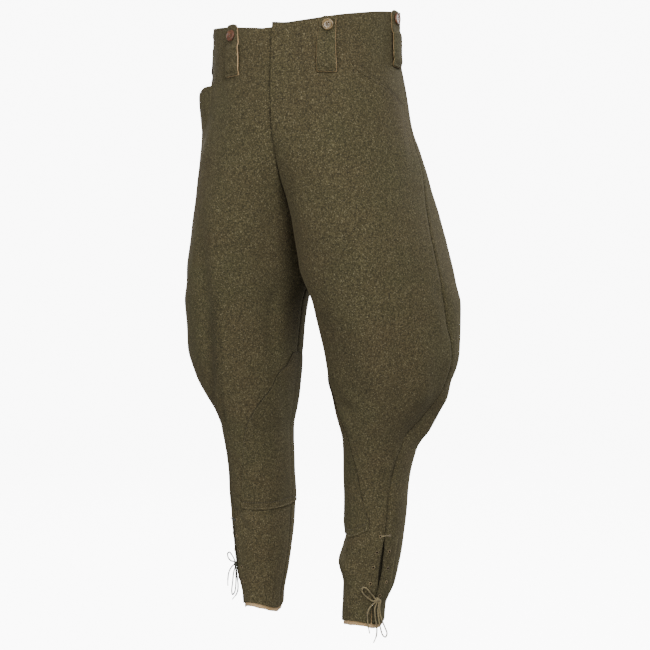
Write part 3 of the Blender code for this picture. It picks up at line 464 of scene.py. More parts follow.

# Lines of painted light and shade on the cloth, darker below zero and lighter above, in rows like the folds:
# the painted shade of the right thigh's trough with a painted shadow and highlight along its edge, painted
# shade on the side of the right calf, a painted highlight and shadow along the pressed line behind the left
# slit, painted rim light on the strips beside the inseams, a painted shadow and highlight at the left pocket
# mouth, painted shade along the fly's stitching and two broad painted shadows on the left leg.
PAINTED_LIGHT_LINES = (
    ("right", -0.34, 10, (
        (86, -400), (90, -460), (93, -515), (99, -548), (114, -583), (122, -610), (126, -640),
    )),
    ("right", -0.30, 3.0, ((83, -470), (84.5, -515), (88, -547), (96, -579), (106, -613), (110, -626))),
    ("right", 0.22, 2.4, ((79, -470), (81, -515), (84.5, -547), (92, -579), (101.5, -613), (105, -626))),
    ("right", -0.14, 9, ((128, -640), (128, -680), (126, -720), (122, -760))),
    ("left", 0.8, 2.2, ((164.0, -780), (163.2, -810), (163.2, -837), (170, -862), (180, -884))),
    ("left", -0.5, 2.2, ((168.0, -780), (167.2, -810), (167.2, -837), (174, -862), (184, -884))),
    ("left", 0.30, 5, ((16, -480), (18, -600), (18, -700), (20, -790), (24, -850), (24, -905))),
    ("left", -0.30, 3, ((30, -500), (32, -600), (32, -700), (34, -780))),
    ("right", 0.28, 4, ((-16, -520), (-14, -600), (-14, -700), (-12, -800), (-12, -900))),
    ("left", -0.4, 2.4, (
        (139, -84), (143, -95), (149, -103), (156, -110), (162, -119), (170, -129), (178, -137),
    )),
    ("left", 0.2, 2.4, (
        (139, -89), (143, -99), (149, -107), (156, -114), (162, -123), (170, -133), (178, -141),
    )),
    ("left", -0.22, 2.2, (
        (104.3, -40), (104.6, -70), (105.0, -119), (103.5, -140), (99.5, -156), (93.5, -166),
    )),
    ("left", -0.16, 16, ((60, -430), (70, -470), (84, -520), (96, -560))),
    ("left", -0.12, 22, ((150, -560), (140, -600), (130, -640), (124, -690))),
)

TAB_ROWS = 60
TAB_COLUMNS = 24
TAB_TOP_CORNER = 5.5 * MM
TAB_FOOT_CORNER = 2.4 * MM
TAB_CROWN = 1.0 * MM
TAB_BOX = 20 * MM
TAB_BOX_IN = 3.5 * MM
TAB_BOX_REACH = 1.2 * MM
TAB_DIP = 0.45 * MM
TAB_ROUND = 0.42
BACKING_SHIFT = 0.25 * MM
# Painted light and shade for the attribute shade: a dark buttonhole slot below each tab's button, highlights
# along edges, deep shade on the hidden strips, shade along the seams, and at the fly a shadow and a lit edge.
KEYHOLE_BELOW = 11.5 * MM
KEYHOLE_LENGTH = 3.6 * MM
KEYHOLE_WIDTH = 1.3 * MM
KEYHOLE_SHADE = 0.75
EDGE_LIGHT = 0.10
EDGE_LIGHT_REACH = 1.2 * MM
HIDDEN_SHADE = -0.9
SEAM_SHADE = 0.35
SEAM_SHADE_REACH = 1.8 * MM
FLY_SHADE = 0.8
FLY_LIGHT = 0.3
FLY_SHADE_REACH = 3.0 * MM
LINE_END = 0.08
TAB_SEWN_AT = (3.5, 8.5)
LIP_OPEN = 2.0 * MM
SLIT_DEPTH = 2.5 * MM
FLY_CURL = 1.3 * MM
FLY_CURL_REACH = 6 * MM
HEM_DIP_REACH = 27 * MM
TAN_BUTTONS = ("front_left", "back_right", "back_left")

BUTTON_TURNS = 56
BUTTON_RINGS = 58
BUTTON_SINK = 1.6 * MM
BUTTON_FACE = 2.35 * MM
# The thread between two holes: its radius, half the distance between its two strands, how high they lie on
# the face and how far they sink towards the holes.
BUTTON_THREAD = 0.3 * MM
BUTTON_THREAD_APART = 0.28 * MM
BUTTON_THREAD_HIGH = 0.25 * MM
BUTTON_THREAD_SINK = 1.1 * MM
BUTTON_THREAD_POINTS = 9
# The button's outline from the middle of its back to the middle of its face, as radius and height.
BUTTON_PROFILE = (
    (0.12, 0.0), (6.5, 0.0), (7.55, 0.35), (8.05, 1.1), (8.1, 1.9), (7.85, 2.75), (7.35, 3.25), (6.8, 3.38),
    (6.2, 3.2), (5.65, 2.75), (5.0, 2.42), (4.0, 2.3), (2.4, 2.28), (0.12, 2.35),
)

PATCH_GRID = (150, 130)
PATCH_GAP = 0.4 * MM
PATCH_DIP = 0.5 * MM
PATCH_RIM = 0.7 * MM
PATCH_RIM_IN = 1.6 * MM
PATCH_RIM_REACH = 1.3 * MM
# Painted light and shade of a knee patch: a highlight just inside its edge, a shadow along the edge and along
# the second stitch row, and the whole patch a little darker.
PATCH_LIGHT = 0.3
PATCH_LIGHT_IN = 2.6 * MM
PATCH_EDGE_SHADOW = {"left": 0.4, "right": 0.8}
PATCH_EDGE_SHADOW_REACH = 1.2 * MM
PATCH_SHADE = 0.06
PATCH_STITCH = 3.2 * MM
PATCH_SECOND = 12 * MM
PATCH_ROUND = 0.45
PATCH_STITCH_REACH = 2 * MM
PATCH_SECOND_REACH = 1.3 * MM
PATCH_STITCH_ENDS = 3
PATCH_STITCH_POINTS = 60
FACING_GRID = (180, 20)
# The facing's uneven foot: how much, how many times round the leg, and the phase.
FACING_WANDER = ((0.07, 5, 1.0), (0.04, 11, 0.0))
# How much of a thin strip's thickness its edges round off on each face.
STRIP_ROUND = 0.4
SLIT_UNDERLAP_GRID = (60, 24)
POCKET_GRID = (30, 50)
FLY_UNDERLAP_GRID = (70, 10, 26)

KNOT_SINK = 1.4 * MM
KNOT_RINGS = 40
# Wraps of the knot: how far out, the tilt, the ring's half length and depth, and how far towards the back.
KNOT_WRAPS = (
    (0.0, 12, 2.4, 1.2, -1.7),
    (0.2, -14, 2.3, 1.2, 1.5),
    (0.5, 84, 2.5, 1.1, 0.1),
)
LACE_RING_STEP = 0.45 * MM
LACE_SIDES = 12
LACE_TIP = 9 * MM
LACE_TIP_SHARE = 0.72
FLOW_STEPS = 24
BRAID_DEPTH = 0.13
SHARP_ANGLE = 55

# The cloth's tones: darkest, middle and lightest fibre, brown and green patches, light flecks and dark ones.
WOOL_TONES = ("#353124", "#4a4431", "#605942", "#86745a", "#7a8462", "#9a9070", "#201d14")

FLOOR_LEVEL = -1.45
FLOOR_REACH = 9.0
FLOOR_RISE = 6.0
FLOOR_GLOW = 9.0
FLOOR_GRID = (40, 64)
# Where its curve begins and how long it is, as shares of the reach.
FLOOR_CURVE = (0.55, 0.45)
WORLD_LIGHT = 0.3
LIGHTS = (
    ("key", (1.9, -2.2, 1.7), (1.2, 1.2), 125),
    ("front", (-0.4, -3.0, -0.8), (1.6, 1.6), 73),
    ("back_right", (1.5, 2.4, 0.8), (1.5, 1.5), 60),
    ("back_left", (-1.8, 2.2, 0.8), (1.5, 1.5), 60),
)


def smooth(x):
    """A soft step from 0 at x = 0 to 1 at x = 1."""
    x = np.clip(x, 0.0, 1.0)
    return x * x * (3.0 - 2.0 * x)


def bell(x, reach):
    """A soft bump: 1 at x = 0, a third at the reach and next to nothing at twice the reach."""
    return np.exp(-((x / reach) ** 2))


def gone_along(points):
    """Length along a path up to each of its points."""
    return np.concatenate([[0.0], np.cumsum(np.linalg.norm(np.diff(points, axis=0), axis=1))])


def gone_across(grid):
    """Length along each row of a grid of points, up to each of them."""
    steps = np.linalg.norm(np.diff(grid, axis=1), axis=-1)
    return np.concatenate([np.zeros((len(grid), 1)), np.cumsum(steps, axis=1)], axis=1)


def curve(xs, ys, x):
    """A monotone cubic through the points (xs, ys), read at x."""
    xs = np.asarray(xs, float)
    ys = np.asarray(ys, float)
    step = np.diff(xs)
    slope = np.diff(ys) / step
    tangent = np.empty_like(ys)
    tangent[0] = slope[0]
    tangent[-1] = slope[-1]
    both = slope[1:] * slope[:-1]
    safe = np.where(both > 0, slope[1:] + slope[:-1], 1.0)
    tangent[1:-1] = np.where(both > 0, 2.0 * both / safe, 0.0)
    x = np.clip(x, xs[0], xs[-1])
    k = np.clip(np.searchsorted(xs, x, side="right") - 1, 0, len(step) - 1)
    s = (x - xs[k]) / step[k]
    start = (1 + 2 * s) * (1 - s) ** 2 * ys[k] + s * (1 - s) ** 2 * step[k] * tangent[k]
    end = s * s * (3 - 2 * s) * ys[k + 1] + s * s * (s - 1) * step[k] * tangent[k + 1]
    return start + end


def column(table, columns, name, at):
    """One named column of a table, read at a value of its first column."""
    rows = sorted(table)
    return curve([row[0] for row in rows], [row[columns.index(name)] for row in rows], at)


def section(name, z):
    return column(SECTIONS, SECTION_COLUMNS, name, z / MM)


def inner_round(side, z, front):
    """Roundness of a leg's inner front or inner back."""
    own = section("round_left" if side > 0 else "round_right", z)
    return np.where(front, own, section("round_back", z))


def inner_share(side, z, front):
    """The middle's distance from the middle plane, as a share of the inner reach that the notch leaves."""
    power = inner_round(side, z, front)
    return (1.0 - np.clip(section("notch", z), 0.0, 1.0) ** power) ** (1.0 / power)


def inner_reach(side, z, front):
    """How far one leg would reach inwards from its middle, past the middle plane where the halves join."""
    mid = section("mid_x", z)
    share = np.maximum(inner_share(side, z, front), LEAST_SHARE)
    joined = np.maximum(mid / share, np.where(share < WAIST_SHARE, WAIST_REACH, 0.0))
    return np.where(section("notch", z) > 0, joined, mid - section("inner", z))


def centre_turn(side, z, front=True):
    """How far round the leg, in radians from its inner side, one half crosses the middle plane."""
    share = np.clip(section("mid_x", z) / inner_reach(side, z, front), 0.0, 1.0)
    share = np.where(section("notch", z) > 0, share, 1.0)
    return np.arccos(share ** (inner_round(side, z, front) / 2.0))


def seam_turn(z):
    return np.radians(column(SIDE_SEAM, SEAM_COLUMNS, "turn", z / MM))


def turn_at(side, x, z):
    """Where on a leg's front the form reaches x: the turn is worked back from the section's own formula."""
    mid_x = section("mid_x", z)
    inwards = mid_x - x / MM
    share = np.where(inwards > 0, inwards / inner_reach(side, z, True), inwards / (section("out", z) - mid_x))
    power = np.where(inwards > 0, inner_round(side, z, True), section("round_out", z)) / 2.0
    return np.arccos(np.sign(share) * np.abs(np.clip(share, -1.0, 1.0)) ** power)


def rim_height(side, turn):
    name = "left" if side > 0 else "right"
    return column(RIM, RIM_COLUMNS, name, np.abs(np.degrees(turn) - 90.0)) * MM


def mouth_height(turn):
    return column(MOUTH, MOUTH_COLUMNS, "z", np.degrees(turn)) * MM


def form(side, turn, z):
    """The plain form of one leg: a rounded section whose four quarters have their own reach."""
    c = np.cos(turn)
    s = np.sin(turn)
    mid_x = section("mid_x", z)
    mid_y = section("mid_y", z)
    reach_x = np.where(c > 0, inner_reach(side, z, s > 0), section("out", z) - mid_x)
    reach_y = np.where(s > 0, mid_y - section("front", z), section("back", z) - mid_y)
    power = 2.0 / np.where(c > 0, inner_round(side, z, s > 0), section("round_out", z))
    x = mid_x - reach_x * np.sign(c) * np.abs(c) ** power
    outward = np.where(c < 0, (x - mid_x) / reach_x, 0.0)
    y = mid_y - reach_y * np.sign(s) * np.abs(s) ** power + section("sweep", z) * outward**2
    return np.stack([side * x * MM, y * MM, z + 0.0 * x], axis=-1)


def pace(side, turn, z):
    """Length round the leg for each radian of turn."""
    step = 0.01
    return np.linalg.norm(form(side, turn + step, z) - form(side, turn - step, z), axis=-1) / (2 * step)


def facing(side, turn, z, shape):
    """The outward unit normal of a surface function, from small steps along its two parameters."""
    round_step = 1e-3
    down_step = 0.5 * MM
    along = shape(side, turn + round_step, z) - shape(side, turn - round_step, z)
    up = shape(side, turn, z + down_step) - shape(side, turn, z - down_step)
    normal = side * np.cross(along, up)
    return normal / np.linalg.norm(normal, axis=-1, keepdims=True)


def ridge(point, side, depth, width, path, end):
    """One soft ridge or trough: a Gaussian of the distance from its path, dying out towards both ends."""
    turns, heights = np.transpose(np.array(path, float))
    knots = form(side, np.radians(turns), heights * MM)
    near = np.full(point.shape[:-1], 1e9)
    share = np.zeros(near.shape)
    for k, (a, b) in enumerate(zip(knots[:-1], knots[1:])):
        run = b - a
        t = np.clip(((point - a) @ run) / (run @ run), 0.0, 1.0)
        distance = np.linalg.norm(point - a - t[..., None] * run, axis=-1)
        share = np.where(distance < near, (k + t) / (len(knots) - 1), share)
        near = np.minimum(distance, near)
    ends = smooth(share / end) * smooth((1.0 - share) / end)
    return depth * MM * bell(near, width * MM) * ends


def slack(point):
    """The cloth's gentle unevenness: crossing plane waves, each bent by a slower one so that none repeats."""
    bend = sum(height * np.sin(point @ np.array(way)) for height, way in SLACK_BENDS)
    rise = np.zeros(point.shape[:-1])
    for length, way, phase, height in WAVES:
        along = point @ np.array(way) * (2 * np.pi / (length * MM))
        rise += height * MM * np.sin(along + phase + bend)
    return rise


def seam_relief(side, turn, z, point):
    """The dip at each sewn seam, and the low ridge beside it, where turned-in edges lie under the cloth."""
    own = (turn - seam_turn(z)) * pace(side, turn, z)
    slit = smooth((SLIT_TOP + SLIT_FADE - z) / SLIT_FADE)
    inner = np.where(turn > np.pi, 2 * np.pi - turn, turn) * pace(side, turn, z)
    legs = smooth((FORK - z) / SLIT_FADE)
    front = turn < np.pi
    centre = np.abs(point[..., 0])
    joined = (1.0 - legs) * np.where(front, smooth((FLY_FOOT - FLY_FADE - z) / FLY_FADE), 1.0)
    rise = np.zeros(z.shape)
    for distance, there in ((own, 1.0 - slit), (inner, legs), (centre, joined)):
        dip = -SEAM_DIP * bell(distance, SEAM_REACH)
        allowance = SEAM_RIDGE * bell(np.abs(distance) - SEAM_ALLOWANCE, SEAM_REACH)
        rise += there * (dip + allowance)
    return rise


def relief(side, turn, z):
    """All the cloth's rise over the plain form: folds, creases, sewn channels, slack and seams."""
    point = form(side, turn, z)
    rise = slack(point) + seam_relief(side, turn, z, point)
    for table, end in ((FOLDS, FOLD_END), (CREASES, FOLD_END), (channels(), LINE_END)):
        for named, depth, width, path in table:
            if SIDES[named] == side:
                rise += ridge(point, side, depth, width, path, end)
    return rise


def painted_light_lines(side, point):
    """Painted light and shade on the cloth, darker below zero and lighter above, along the lines of its
    table.
    """
    tone = np.zeros(point.shape[:-1])
    for named, strength, width, path in PAINTED_LIGHT_LINES:
        if SIDES[named] == side:
            tone += ridge(point, side, strength, width, path, LINE_END) / MM
    return tone


def channels():
    """The stitch lines as shallow troughs."""
    return [(side, -STITCH_DIP / MM, STITCH_CHANNEL / MM, path) for side, path in STITCH_LINES]


def lift(side, turn, z, rise):
    """Points of the cloth's outer face moved out by rise, or in where it is below zero."""
    turn = np.asarray(turn, float)
    z = np.asarray(z, float) + 0.0 * turn
    turn = turn + 0.0 * z
    out = relief(side, turn, z) + np.asarray(rise)
    return form(side, turn, z) + out[..., None] * facing(side, turn, z, form)


def fly_rise(side, turn, z):
    """How far the left front stands out over the right one beside the fly."""
    lap = smooth((z - FLY_FOOT + FLY_FADE) / FLY_FADE) * (side > 0) * (turn < np.pi)
    x = np.maximum(side * form(side, turn, z)[..., 0], 0.0)
    curl = FLY_CURL * bell(x, FLY_CURL_REACH)
    return ((WALL + LAY_GAP) * (1.0 - smooth((x - FLY_LAP) / FLY_EASE)) + curl) * lap


def gape(side_name, turn, z):
    """How far the lower lip of the pocket mouth stands out."""
    degrees = np.degrees(turn)
    along = np.clip((degrees - GAPE_FROM) / (GAPE_TO - GAPE_FROM), 0.0, 1.0)
    below = np.clip((mouth_height(turn) - z) / GAPE_DROP, 0.0, None)
    return GAPE[side_name] * np.sin(np.pi * along) * np.exp(-(below**2))


def climb(out):
    """How far a lower lip that stands out this far is drawn up over the upper one."""
    return LIP_CLIMB * np.maximum(out - LIP_CLEAR, 0.0)


def outside(side_name, turn, z, rise):
    """Points on the face that shows, with the lap of the fly and the lip of the pocket, moved out by rise."""
    side = SIDES[side_name]
    turn = np.asarray(turn, float)
    z = np.asarray(z, float) + 0.0 * turn
    turn = turn + 0.0 * z
    lip = gape(side_name, turn, z) * (z < mouth_height(turn))
    points = lift(side, turn, z, rise + fly_rise(side, turn, z) + lip)
    points[..., 2] += climb(lip)
    return points


def cleared(points, side, least=SEAM_GAP / 2):
    """Keeps every point of one half on its own side of the middle plane."""
    points[..., 0] = side * np.maximum(side * points[..., 0], least)
    return points


def crowded(count):
    """Steps from 0 to 1 that lie closest at both ends: x less a sine of one period."""
    x = np.linspace(0.0, 1.0, count + 1)
    return x - CROWDING * np.sin(2 * np.pi * x) / (2 * np.pi)


def rounded(distance):
    """How far a face falls towards a rounded edge: a quarter circle of the edge's radius."""
    share = np.clip(1.0 - distance / EDGE_ROUND, 0.0, 1.0)
    return EDGE_ROUND * (1.0 - np.sqrt(1.0 - share**2))


def hem_dip(side, turn):
    """How far the hem lies below its level: it dips at a leg's two sides and rises between them."""
    name = "left" if side > 0 else "right"
    return HEM_DIP[name] * np.cos(turn) ** 2 - HEM_RISE[name]


def fine_rows(side, which, nominal):
    """Heights of a panel's fine grid, from the waist edge by the mouth's row and the hip to the hem."""
    top = rim_height(side, nominal)
    if which == "front" and side > 0:
        near = np.abs(form(side, nominal, top)[..., 0])
        top = top + FLY_CORNER * bell(near, FLY_CORNER_REACH)
    mid = mouth_height(nominal)
    upper = top + (mid - top) * crowded(UPPER_ROWS)[:-1, None]
    middle = mid + (HIP - mid) * crowded(MIDDLE_ROWS)[:-1, None]
    last = HEM + np.array(HEM_ROWS) * MM
    level = np.concatenate([np.linspace(HIP, last[0], LOWER_ROWS), last[1:]])[:, None]
    return np.concatenate([upper, middle, level + 0.0 * mid])


def fine_places(side, which):
    """Turns and heights of a panel's fine grid."""
    share = crowded(PANEL_COLUMNS[which])
    waist_seam = seam_turn(WAIST_LEVEL)
    if which == "front":
        nominal = np.pi / 2 + share * (waist_seam - np.pi / 2)
    else:
        nominal = waist_seam + share * (1.5 * np.pi - waist_seam)
    z = fine_rows(side, which, nominal)
    centre = centre_turn(side, z, which == "front")
    seam = seam_turn(z)
    open_by = (SEAM_GAP + column(SLIT_WIDTH, SLIT_WIDTH_COLUMNS, "width", z / MM) * MM) / 2
    open_by = open_by / pace(side, seam, z)
    crowd = 1.0 + CENTRE_CROWDING * (1.0 - centre / (np.pi / 2))
    gap = SEAM_GAP / 2 / pace(side, centre, z) * (centre == 0)
    if which == "front":
        lap = FLY_LAP * smooth((z - FLY_FOOT) / FLY_FADE) * (side > 0) / pace(side, centre, z)
        turn = (seam - open_by) * share + centre * (1.0 - share) ** crowd
        turn = turn + (gap - lap) * (1.0 - share) ** LAP_POWER
    else:
        turn = 2 * np.pi - gap - (2 * np.pi - gap - seam - open_by) * (1.0 - share) - centre * share**crowd
    low = np.clip((HEM + HEM_DIP_REACH - z) / HEM_DIP_REACH, 0.0, 1.0)
    return turn, z - low * hem_dip(side, turn)


def wall_points(side, which, turn, z, rise):
    """One face of a panel. The left front crosses the middle onto the right front's outer face."""
    if which == "front" and side > 0:
        centre = centre_turn(1, z)
        over = turn < centre
        folded = np.where(over, 2 * centre - turn, turn)
        own = cleared(lift(1, folded, z, rise), 1, 0.0)
        points = np.where(over[..., None], lift(-1, folded, z, rise), own)
        legs = z[:, 0] < FLY_FOOT - FLY_FADE
        points[legs] = cleared(points[legs], side)
        return points
    return cleared(lift(side, turn, z, rise), side)


def shell(name, outer, inner, quads, material, shade=None):
    """A closed wall: the quads over the outer points, the same over the inner ones turned round, and a strip
    along every open edge."""
    count = len(outer)
    edges = np.concatenate([quads[:, [k, (k + 1) % 4]] for k in range(4)])
    there = edges[:, 0] * count + edges[:, 1]
    back = edges[:, 1] * count + edges[:, 0]
    rim = edges[~np.isin(there, back)]
    strip = np.stack([rim[:, 1], rim[:, 0], rim[:, 0] + count, rim[:, 1] + count], axis=1)
    faces = np.concatenate([quads, quads[:, ::-1] + count, strip])
    both = None if shade is None else np.concatenate([shade.ravel(), shade.ravel()])
    return surface_object(name, np.concatenate([outer, inner]), faces, material, both)


def surface_object(name, points, quads, material, shade=None):
    """A smooth mesh of quads whose faces point out, with how much darker or lighter each of its points is."""
    edge_a = points[quads[:, 2]] - points[quads[:, 0]]
    edge_b = points[quads[:, 3]] - points[quads[:, 1]]
    volume = (np.cross(edge_a, edge_b) * points[quads].mean(axis=1)).sum()
    quads = quads[:, ::-1] if volume < 0 else quads
    mesh = bpy.data.meshes.new(name)
    mesh.vertices.add(len(points))
    mesh.vertices.foreach_set("co", points.astype(np.float32).ravel())
    mesh.loops.add(quads.size)
    mesh.loops.foreach_set("vertex_index", quads.astype(np.int32).ravel())
    mesh.polygons.add(len(quads))
    mesh.polygons.foreach_set("loop_start", np.arange(0, quads.size, 4, dtype=np.int32))
    mesh.update(calc_edges=True)
    mesh.validate()
    mesh.shade_smooth()
    mesh.set_sharp_from_angle(angle=np.radians(SHARP_ANGLE))
    if shade is not None:
        values = mesh.attributes.new("shade", "FLOAT", "POINT").data
        values.foreach_set("value", shade.astype(np.float32).ravel())
    mesh.materials.append(material)
    obj = bpy.data.objects.new(name, mesh)
    bpy.context.scene.collection.objects.link(obj)
    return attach(obj, "root")


def grid_quads(index):
    """Quads of a grid of point numbers."""
    corners = (index[:-1, :-1], index[1:, :-1], index[1:, 1:], index[:-1, 1:])
    return np.stack([corner.reshape(-1) for corner in corners], axis=1)


def slab(name, outer, inner, material, ring=False, shade=None):
    """A closed wall between two grids of points; a ring's last column joins its first."""
    rows, columns = outer.shape[:2]
    index = np.arange(rows * columns).reshape(rows, columns)
    if ring:
        index = np.concatenate([index, index[:, :1]], axis=1)
    return shell(name, outer.reshape(-1, 3), inner.reshape(-1, 3), grid_quads(index), material, shade)


def tidy_piece(obj, nodes):
    """The piece stands for its CAD nodes, which are hidden."""
    for node in nodes:
        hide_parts(node)
    return obj


def declare_cloth(obj, points, row=None):
    """Measures the width of cloth across the middle of a piece's wall and returns the piece; nothing is
    declared.

    The width is that of the widest row, or of one row where its number is given.
    """
    across_grid = np.linalg.norm(np.diff(points, axis=1), axis=-1).sum(axis=1)
    across_grid = across_grid.max() if row is None else across_grid[row]
    return obj


def panel_shade(side, which, turn, z, gone, beside, ends):
    """Painted light and shade on a panel: painted lines, highlit ends, shaded seams, the fly's shadow and
    light.
    """
    shade = painted_light_lines(side, form(side, turn, z)) + EDGE_LIGHT * bell(ends, EDGE_LIGHT_REACH)
    shade -= SEAM_SHADE * bell(beside, SEAM_SHADE_REACH)
    if which == "front":
        fly = bell(gone, FLY_SHADE_REACH) * smooth((z - FLY_FOOT + FLY_FADE) / FLY_FADE)
        shade += (FLY_LIGHT if side > 0 else -FLY_SHADE) * fly
    return shade


def panel(side_name, which, wool):
    """A front or a back as a closed wall with rounded edges, the front with its pocket mouth cut through."""
    side = SIDES[side_name]
    front = which == "front"
    turn, z = fine_places(side, which)
    rise = fly_rise(side, turn, z) if front else np.zeros(turn.shape)
    middle = wall_points(side, which, turn, z, rise - WALL / 2)
    gone = gone_across(middle)
    beside = np.minimum(gone, gone[:, -1:] - gone)
    ends = np.minimum(z[:1] - z, z - z[-1:])
    near = np.minimum(beside, ends)
    # Painted light and shade, which the attribute shade carries into the wool's colour.
    shade = panel_shade(side, which, turn, z, gone, beside, ends)
    tones = shade.ravel()
    row = UPPER_ROWS
    lip = 0.0
    index = np.arange(turn.size).reshape(turn.shape)
    quads = grid_quads(index)
    if front:
        share = crowded(PANEL_COLUMNS[which])
        first, last = MOUTH_SHARES
        lips = np.flatnonzero((share > first) & (share < last))
        inside = np.clip((share - first) * (last - share) / MOUTH_FADE, 0.0, 1.0)
        mouth = np.abs(z - z[row]) + EDGE_ROUND * (1.0 - inside)
        near = np.minimum(near, np.where(inside > 0, mouth, 1.0))
        lip = np.where((np.arange(len(turn)) >= row)[:, None], gape(side_name, turn, z), 0.0)
        tones = np.concatenate([tones, shade[row, lips]])
        above = index[: row + 1].copy()
        above[row, lips] = turn.size + np.arange(len(lips))
        quads = np.concatenate([grid_quads(above), grid_quads(index[row:])])
    faces = []
    for depth, way in ((0.0, -1.0), (-WALL, 1.0)):
        fall = way * rounded(near)
        points = wall_points(side, which, turn, z, rise + lip + depth + fall)
        if front:
            upper = wall_points(side, which, turn, z, rise + depth + fall)[row, lips]
            points[..., 2] += climb(lip)
            points[row, lips, 2] -= LIP_OPEN / 2
            upper[:, 2] += LIP_OPEN / 2
            points = np.concatenate([points.reshape(-1, 3), upper])
        faces.append(points.reshape(-1, 3))
    obj = shell(f"{which}_{side_name}_cloth", faces[0], faces[1], quads, wool, tones)
    tidy_piece(obj, [f"{which}_{side_name}"])
    return declare_cloth(obj, middle)


def tab(place, side_name, top_turn, foot_turn, above, foot, button_drop, wool, cotton):
    """A cloth tab with a cotton backing: two strips whose middle stands off the cloth in a low bow."""
    side = SIDES[side_name]
    top = rim_height(side, np.radians(top_turn)) + above * MM
    z = top + (foot * MM - top) * crowded(TAB_ROWS)
    down = top - z
    up = z - foot * MM
    turn = np.radians(top_turn + (foot_turn - top_turn) * down / down[-1])[:, None]
    loose = smooth((down - LOOP_FLAT) / LOOP_RAMP) * smooth(up / LOOP_RAMP)
    end = np.minimum(down, up)
    bend = np.where(down < up, TAB_TOP_CORNER, TAB_FOOT_CORNER)
    corner = bend * (1.0 - np.sqrt(1.0 - np.clip(1.0 - end / bend, 0.0, 1.0) ** 2))
    taper = column(LOOP_ROWS[:-1], LOOP_COLUMNS, "share", down / down[-1])
    shown = place.startswith("front")
    edge = BACKING_EDGE if shown else -BACKING_EDGE
    aside = BACKING_SHIFT * side if shown else 0.0
    layers = (
        ("backing", LOOP_WIDTH + 2 * edge, aside, 0.0, BACKING, cotton, f"loop_backing_{place}", "backing"),
        ("tab", LOOP_WIDTH, 0.0, BACKING + SEAM_GAP, LOOP_WALL, wool, f"belt_loop_{place}", "wool"),
    )
    for kind, width, shift, low, thick, material, node, slot in layers:
        half = width / 2 * taper - corner
        offset = half[:, None] * (2 * crowded(TAB_COLUMNS) - 1.0) + shift
        heights = np.repeat(z[:, None], TAB_COLUMNS + 1, axis=1)
        turns = turn + offset / pace(side, turn, heights)
        crown = TAB_CROWN * loose[:, None] * (1.0 - ((offset - shift) / (width / 2)) ** 2)
        near = np.minimum(half[:, None] - np.abs(offset - shift), end[:, None])
        fall = np.minimum(rounded(near), TAB_ROUND * thick)
        box = np.maximum(np.abs(offset) - (half[:, None] - TAB_BOX_IN), TAB_BOX_IN - up[:, None])
        box = np.maximum(box, up[:, None] - TAB_BOX)
        sewn = TAB_DIP * bell(box, TAB_BOX_REACH) * (kind == "tab")
        base = LOOP_GAP + LOOP_STAND * loose[:, None] + crown + low
        outer = outside(side_name, turns, heights, base + thick - fall - sewn)
        inner = outside(side_name, turns, heights, base + fall)
        # Painted shade in the buttonhole's slot below the button, and a painted highlight along the tab's
        # edges.
        slot_down = (down[:, None] - button_drop * MM - KEYHOLE_BELOW) / KEYHOLE_LENGTH
        keyhole = -KEYHOLE_SHADE * np.exp(-((offset / KEYHOLE_WIDTH) ** 2) - slot_down**4)
        painted_shading = EDGE_LIGHT * bell(near, EDGE_LIGHT_REACH)
        obj = slab(f"{kind}_{place}", outer, inner, material, shade=keyhole + painted_shading)
        tidy_piece(obj, [node])
        declare_cloth(obj, (outer + inner) / 2)


def tab_stitches(place, side_name, top_turn, foot_turn, above, foot, button_drop, thread):
    """Two rows of stitches across the tab's foot, which hold it to the cloth."""
    side = SIDES[side_name]
    reach = np.degrees((LOOP_WIDTH / 2 - TAB_BOX_IN) / pace(side, np.radians(foot_turn), foot * MM))
    rise = LOOP_GAP + BACKING + SEAM_GAP + LOOP_WALL - TAB_DIP
    for number, height in enumerate(TAB_SEWN_AT):
        path = [(foot_turn - reach, foot + height), (foot_turn + reach, foot + height)]
        sewn_line(f"tab_{place}_stitches_{number}", side_name, path, thread, rise)


def revolved(points, way, profile, sides):
    """A grid of points: the profile (radius, height) turned round an axis through points along way."""
    across_way = np.cross(way, [0.0, 0.0, 1.0])
    across_way /= np.linalg.norm(across_way)
    up = np.cross(across_way, way)
    angle = 2 * np.pi * np.arange(sides) / sides
    flat = np.cos(angle)[:, None] * across_way + np.sin(angle)[:, None] * up
    radius, height = np.transpose(profile)
    return points + radius[:, None, None] * flat + height[:, None, None] * np.asarray(way), across_way, up


def capped(rows, sides, start=0):
    """Quads of a tube of rings, and strips of quads that close its two end rings."""
    index = np.arange(rows * sides).reshape(rows, sides) + start
    ring = np.concatenate([index, index[:, :1]], axis=1)
    k = np.arange(sides // 2 - 1)
    cap = np.stack([k, k + 1, sides - 2 - k, sides - 1 - k], axis=1)
    return np.concatenate([grid_quads(ring), index[0][cap], index[-1][cap[:, ::-1]]])


def looped(rows, sides, start):
    """Quads of a tube of rings whose last ring joins its first."""
    index = np.arange(rows * sides).reshape(rows, sides) + start
    index = np.concatenate([index, index[:1]])
    return grid_quads(np.concatenate([index, index[:, :1]], axis=1))


